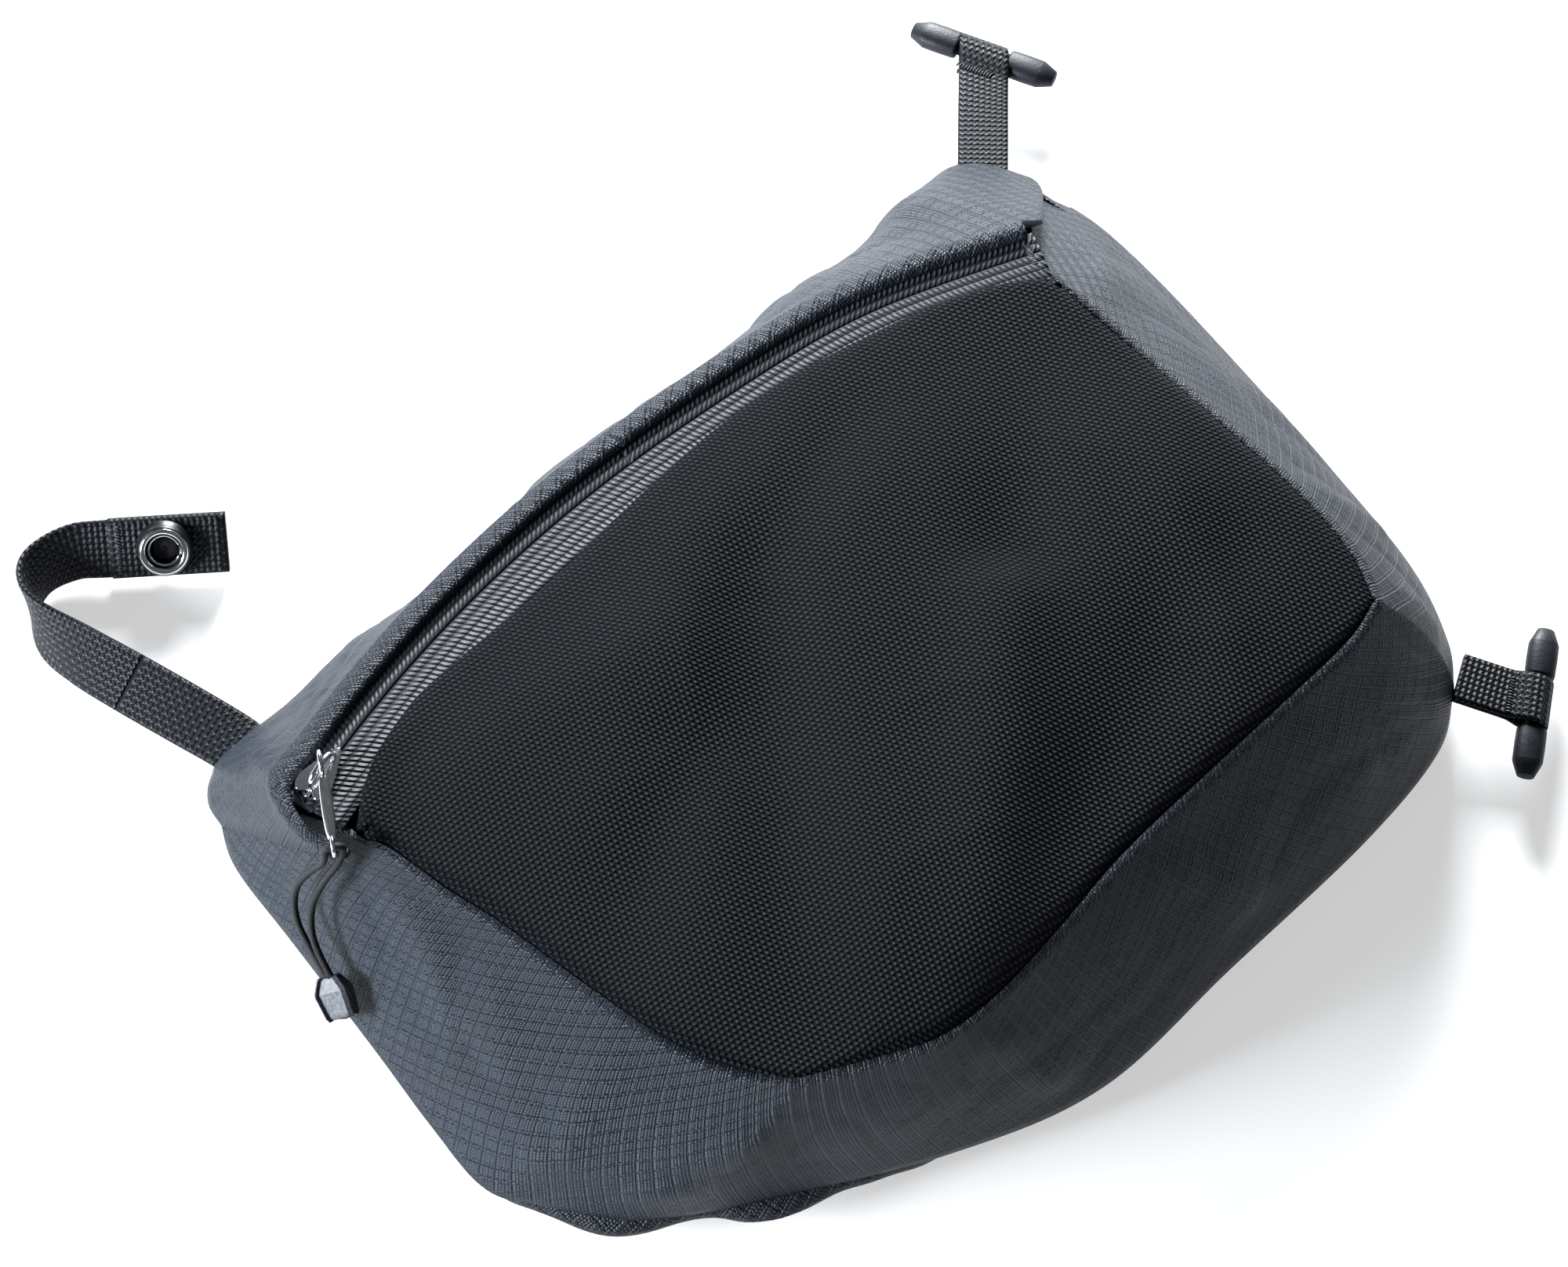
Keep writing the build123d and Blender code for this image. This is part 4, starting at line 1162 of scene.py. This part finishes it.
first_end, last_end = V(*CORD_ROUTE[0]), V(*CORD_ROUTE[-1])
end_axis = V(-2.0, -6.8, -4.2).normalized()
end_place = frame_matrix((first_end + last_end) / 2, last_end - first_end, end_axis)
END_SECTIONS = [(0.0, 2.4, 1.4), (0.3, 2.75, 1.6), (2.6, 3.95, 2.15), (3.2, 4.1, 2.25), (8.3, 3.6, 2.0),
                (8.9, 3.2, 1.7)]
verts, faces = [], []
for z, half_x, half_y in END_SECTIONS:
    chamfer = 0.9
    for x, y in ((1, -1), (1, 1), (-1, 1), (-1, -1)):
        for dx, dy in (((0, chamfer), (chamfer, 0)) if x * y < 0 else ((chamfer, 0), (0, chamfer))):
            verts.append(end_place @ V(x * (half_x - dx), y * (half_y - dy), z))
n = 8
for i in range(len(END_SECTIONS) - 1):
    for k in range(n):
        m = (k + 1) % n
        faces.append((i * n + k, i * n + m, (i + 1) * n + m, (i + 1) * n + k))
faces += [tuple(range(n - 1, -1, -1)), tuple(range((len(END_SECTIONS) - 1) * n, len(END_SECTIONS) * n))]
cord_end = build("cord_end_block", verts, faces, "cord_end")
bake(cord_end, ("BEVEL", {"width": 0.00018, "segments": 2, "limit_method": "ANGLE", "angle_limit": 0.3}))
cord_end.data.polygons.foreach_set("use_smooth", [False] * len(cord_end.data.polygons))
for piece, node in ((cord, "puller_cord"), (cord_end, "cord_end")):
    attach(piece, "cord")
    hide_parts(node)

# --- strap ----------------------------------------------------------------------------------------

STRAP_STATIONS = [
    ((-98.6, 78.5, 11.2), (0.98, 0.19, 0.06)),
    ((-99.0, 82.0, 11.4), (0.98, 0.19, 0.08)),
    ((-103.0, 94.0, 11.6), (0.93, 0.26, 0.25)),
    ((-107.0, 107.0, 10.4), (0.84, 0.36, 0.40)),
    ((-110.6, 119.6, 8.8), (0.68, 0.44, 0.58)),
    ((-112.6, 129.6, 7.6), (0.40, 0.46, 0.79)),
    ((-111.2, 137.6, 7.0), (0.10, 0.36, 0.93)),
    ((-105.8, 142.2, 6.8), (-0.04, 0.44, 0.90)),
    ((-97.6, 141.4, 6.6), (0.08, 0.62, 0.78)),
    ((-90.6, 137.0, 6.4), (0.22, 0.68, 0.70)),
    ((-70.6, 122.4, 6.4), (0.24, 0.68, 0.69)),
]
STRAP_WIDTH, WEBBING_WALL = 13.0, 1.3
middles = catmull([s[0] for s in STRAP_STATIONS], 12)
widths = [w.normalized() for w in catmull([s[1] for s in STRAP_STATIONS], 12)]


def strap_ups(path, across):
    ups = []
    for i in range(len(path)):
        along = (path[min(i + 1, len(path) - 1)] - path[max(i - 1, 0)]).normalized()
        ups.append(across[i].cross(along).normalized())
    return ups


ups = strap_ups(middles, widths)
SPLIT, HEM = 3 * 12, 9 * 12
near = ribbon("strap_near_leg", middles, ups, STRAP_WIDTH, WEBBING_WALL, "webbing", last=SPLIT)
far = ribbon("strap_far_leg", middles, ups, STRAP_WIDTH, WEBBING_WALL, "webbing", first=SPLIT, last=HEM + 2)
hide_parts("strap_root")
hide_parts("strap_tip")
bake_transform(near)
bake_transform(far)
hem_path, hem_ups = middles[HEM:], ups[HEM:]
hem = ribbon("strap_folded_end", hem_path, hem_ups, STRAP_WIDTH + 0.3, 2 * WEBBING_WALL + 0.2, "webbing")
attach(hem, "strap_far")
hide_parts("strap_hem")

hem_start, hem_stop = V(*STRAP_STATIONS[9][0]), V(*STRAP_STATIONS[10][0])
hem_along = (hem_stop - hem_start).normalized()
hem_across = V(*STRAP_STATIONS[9][1]).normalized()
hem_face = hem_across.cross(hem_along).normalized()
if hem_face.z < 0:
    hem_face = -hem_face
snap_place = frame_matrix(hem_start + (hem_stop - hem_start) * 0.47, hem_along, hem_face)
fold_tack = bar_tack("strap_fold_tack", snap_place @ Matrix.Translation(V(-9.6, 0,
                                                                          1.4)) @ Matrix.Rotation(math.pi / 2,
                                                                                                  4, "Z"),
                     11.0, 1.1, 16, 0.2)
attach(fold_tack, "strap_far")

# --- snap -----------------------------------------------------------------------------------------

body = lathe("snap_ring", [(3.1, 1.4), (3.1, 3.0), (3.35, 3.3), (4.05, 3.35), (4.05, 4.0), (4.35, 4.55),
                           (4.75, 4.7), (5.3, 4.45),
                           (5.6, 3.9), (5.6, 2.6), (5.95, 2.2), (6.1, 1.7), (6.1, 1.35), (3.1, 1.35),
                           (3.1, 1.4)], snap_place, "black", 72)
rim_ring = lathe("snap_rim", [(3.85, 4.1), (3.9, 4.6), (4.25, 4.9), (4.7, 4.95), (5.1, 4.75), (5.2, 4.4),
                              (4.6, 4.1), (3.85, 4.1)],
                 snap_place, "snap_metal", 72)
floor_disc = lathe("snap_floor", [(0.0, 1.55), (1.2, 1.6), (2.1, 1.9), (2.6, 1.8), (3.08, 1.6), (3.08, 1.4),
                                  (0.0, 1.4)], snap_place, "black", 48)
socket = join("snap_socket_ring", [body, rim_ring, floor_disc])
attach(socket, "strap_far")
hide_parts("snap_socket")
spring = rod("snap_ring_spring", [V(3.35 * math.cos(math.radians(a)), 3.35 * math.sin(math.radians(a)),
                                    3.35) for a in range(20, 341, 8)],
             [0.36] * 41, snap_place, "snap_metal", ring=12)
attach(spring, "strap_far")
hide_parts("snap_spring")
cap_piece = lathe("snap_cap_dome", [(0.0, -2.75), (1.5, -2.7), (3.2, -2.5), (4.8, -2.1), (5.7, -1.75),
                                    (6.15, -1.45), (6.2, -1.25), (5.9, -1.15), (0.0, -1.15)],
                  snap_place, "black", 72)
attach(cap_piece, "strap_far")
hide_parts("snap_cap")

stud_place = frame_matrix((-78.005, 69.74, 4.209), (1, 0.0336, 0), (-0.0118, 0.3509, -0.9363))
stud = lathe("snap_stud_turned", [(5.0, 0.0), (5.0, 0.45), (4.7, 0.7), (3.3, 0.75), (2.6, 1.0), (2.5, 1.5),
                                  (2.9, 2.0), (2.9, 2.7), (2.5, 3.2),
                                  (1.6, 3.3), (1.3, 2.9), (0.0, 2.8)], stud_place, "snap_metal", 60)
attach(stud, "bag")
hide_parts("snap_stud")
post = lathe("snap_stud_head", [(0.0, -2.5), (1.2, -2.5), (3.4, -2.6), (4.2, -3.0), (4.2, -3.3), (3.6, -3.55),
                                (0.0, -3.7)], stud_place, "black", 60)
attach(post, "bag")
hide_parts("snap_stud_post")

# --- tabs and toggles -----------------------------------------------------------------------------

TABS = {
    "upper": (V(112.2, 88.8, 9.8), V(131.5, 110.6, 8.0), math.radians(-22)),
    "lower": (V(107.0, -71.6, 9.8), V(114.8, -83.6, 8.0), math.radians(6)),
}
TAB_WIDTH, NECK_R, WALL = 11.0, 2.0, 1.15
TOGGLE_PROFILE = [(-17.0, 0.0), (-17.0, 0.50), (-16.85, 0.58), (-13.9, 0.96), (-13.5, 1.0), (-10, 1.02),
                  (-6.6, 1.0), (-6.1, 0.97), (-5.85, 0.85),
                  (-5.8, 0.66)]
TOGGLE_PROFILE += [(-x, r) for x, r in reversed(TOGGLE_PROFILE)]


def make_toggle(name, place):
    """A flattened bar with truncated cone ends and a narrower neck."""
    verts, faces, n = [], [], 40
    for x, r in TOGGLE_PROFILE:
        for k in range(n):
            q = 2 * math.pi * k / n
            c, s = math.cos(q), math.sin(q)
            verts.append(place @ V(x, 3.2 * r * math.copysign(abs(c) ** 0.85, c),
                                   2.4 * r * math.copysign(abs(s) ** 0.85, s)))
    for i in range(len(TOGGLE_PROFILE) - 1):
        for k in range(n):
            m = (k + 1) % n
            faces.append((i * n + k, i * n + m, (i + 1) * n + m, (i + 1) * n + k))
    faces += [tuple(range(n - 1, -1, -1)), tuple(range(len(verts) - n, len(verts)))]
    return build(name, verts, faces, "toggle")


for name, (root, toggle, skew) in TABS.items():
    run = toggle - root
    along = run.normalized()
    side = along.cross(V(0, 0, 1)).normalized()
    up = side.cross(along)
    flat_place = frame_matrix(toggle, side, up)
    place = flat_place @ Matrix.Rotation(skew, 4, "Z")
    bar = (place.to_3x3() @ V(1, 0, 0)).normalized()
    piece = make_toggle(f"toggle_bar_{name}", place)
    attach(piece, f"toggle_{name}")
    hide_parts(f"toggle_{name}")

    # One band runs out over the toggle's neck and back underneath, and its end skews with the toggle.
    loop_r, length = NECK_R + 0.12 + WALL / 2, run.length
    profile = [(-length - 2.5, WALL * 0.52), (-length * 0.6, WALL * 0.54), (-7.0, WALL * 0.56),
               (-5.2, WALL * 0.75),
               (-3.2, 1.9), (-1.6, loop_r * 0.94)]
    profile += [(loop_r * math.sin(q), loop_r * math.cos(q)) for q in (math.radians(a) for a in range(0, 181,
                                                                                                      15))]
    profile += [(y, -z) for y, z in reversed(profile[:6])]
    local = smooth_path([(0, y, z) for y, z in profile], 130)
    faces_up = []
    for i, p in enumerate(local):
        t = (local[min(i + 1, len(local) - 1)] - local[max(i - 1, 0)]).normalized()
        faces_up.append((flat_place.to_3x3() @ V(0, -t.z, t.y)).normalized())
    path = [flat_place @ p for p in local]

    def skewed(x, i, local=local, skew=skew, along=along, length=length):
        return along * (x * math.tan(skew) * smoothstep(-length * 0.75, -3.0, local[i].y))

    band = ribbon(f"tab_band_{name}", path, faces_up, TAB_WIDTH, WALL, "webbing", shear=skewed)
    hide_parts(f"tab_{name}")
    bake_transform(band)
    rows = []
    for z, flip in ((WALL + 0.12, 0), (-WALL - 0.12, math.pi)):
        spot = place @ Matrix.Translation(V(0, -5.6, z)) @ Matrix.Rotation(flip, 4, "X")
        rows.append(bar_tack(f"tack_{name}_{z:.0f}", spot, 8.4, 1.3, 13, 0.2, 0.1))
    tack = join(f"tab_tack_{name}", rows)
    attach(tack, f"tab_{name}")
    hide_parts(f"tab_{name}_tack")

# --- floor and light ------------------------------------------------------------------------------

floor_nodes = Nodes("floor")
floor_nodes.shader.inputs["Emission Color"].default_value = (1, 1, 1, 1)
MATERIALS["floor"] = floor_nodes.finish((0.56, 0.57, 0.58), 0.85, Emission_Strength=0.55)
ground = build("floor", [V(-3000, -3000, 0), V(3000, -3000, 0), V(3000, 3000, 0), V(-3000, 3000, 0)],
               [(0, 1, 2, 3)], "floor")
ground.location.z = -0.0002


def area(name, position, target, size, power, colour=(1, 1, 1)):
    light = bpy.data.lights.new(name, "AREA")
    light.energy, light.size, light.color = power, size, colour
    lamp = bpy.data.objects.new(name, light)
    bpy.context.collection.objects.link(lamp)
    lamp.location = position
    lamp.rotation_mode = "QUATERNION"
    lamp.rotation_quaternion = (Vector(target) - Vector(position)).to_track_quat("-Z", "Y")


area("key", (0.62, 0.74, 0.42), (0.0, 0.02, 0.02), 0.3, 40, (0.95, 0.98, 1.0))
area("left", (-0.85, 0.30, 0.30), (-0.05, 0.0, 0.02), 0.3, 25, (0.90, 0.96, 1.0))
world = bpy.data.worlds.new("studio")
bpy.context.scene.world = world
world.use_nodes = True
world.node_tree.nodes["Background"].inputs[0].default_value = (0.93, 0.95, 1.0, 1)
world.node_tree.nodes["Background"].inputs[1].default_value = 0.11
bpy.context.scene.view_settings.view_transform = "Standard"
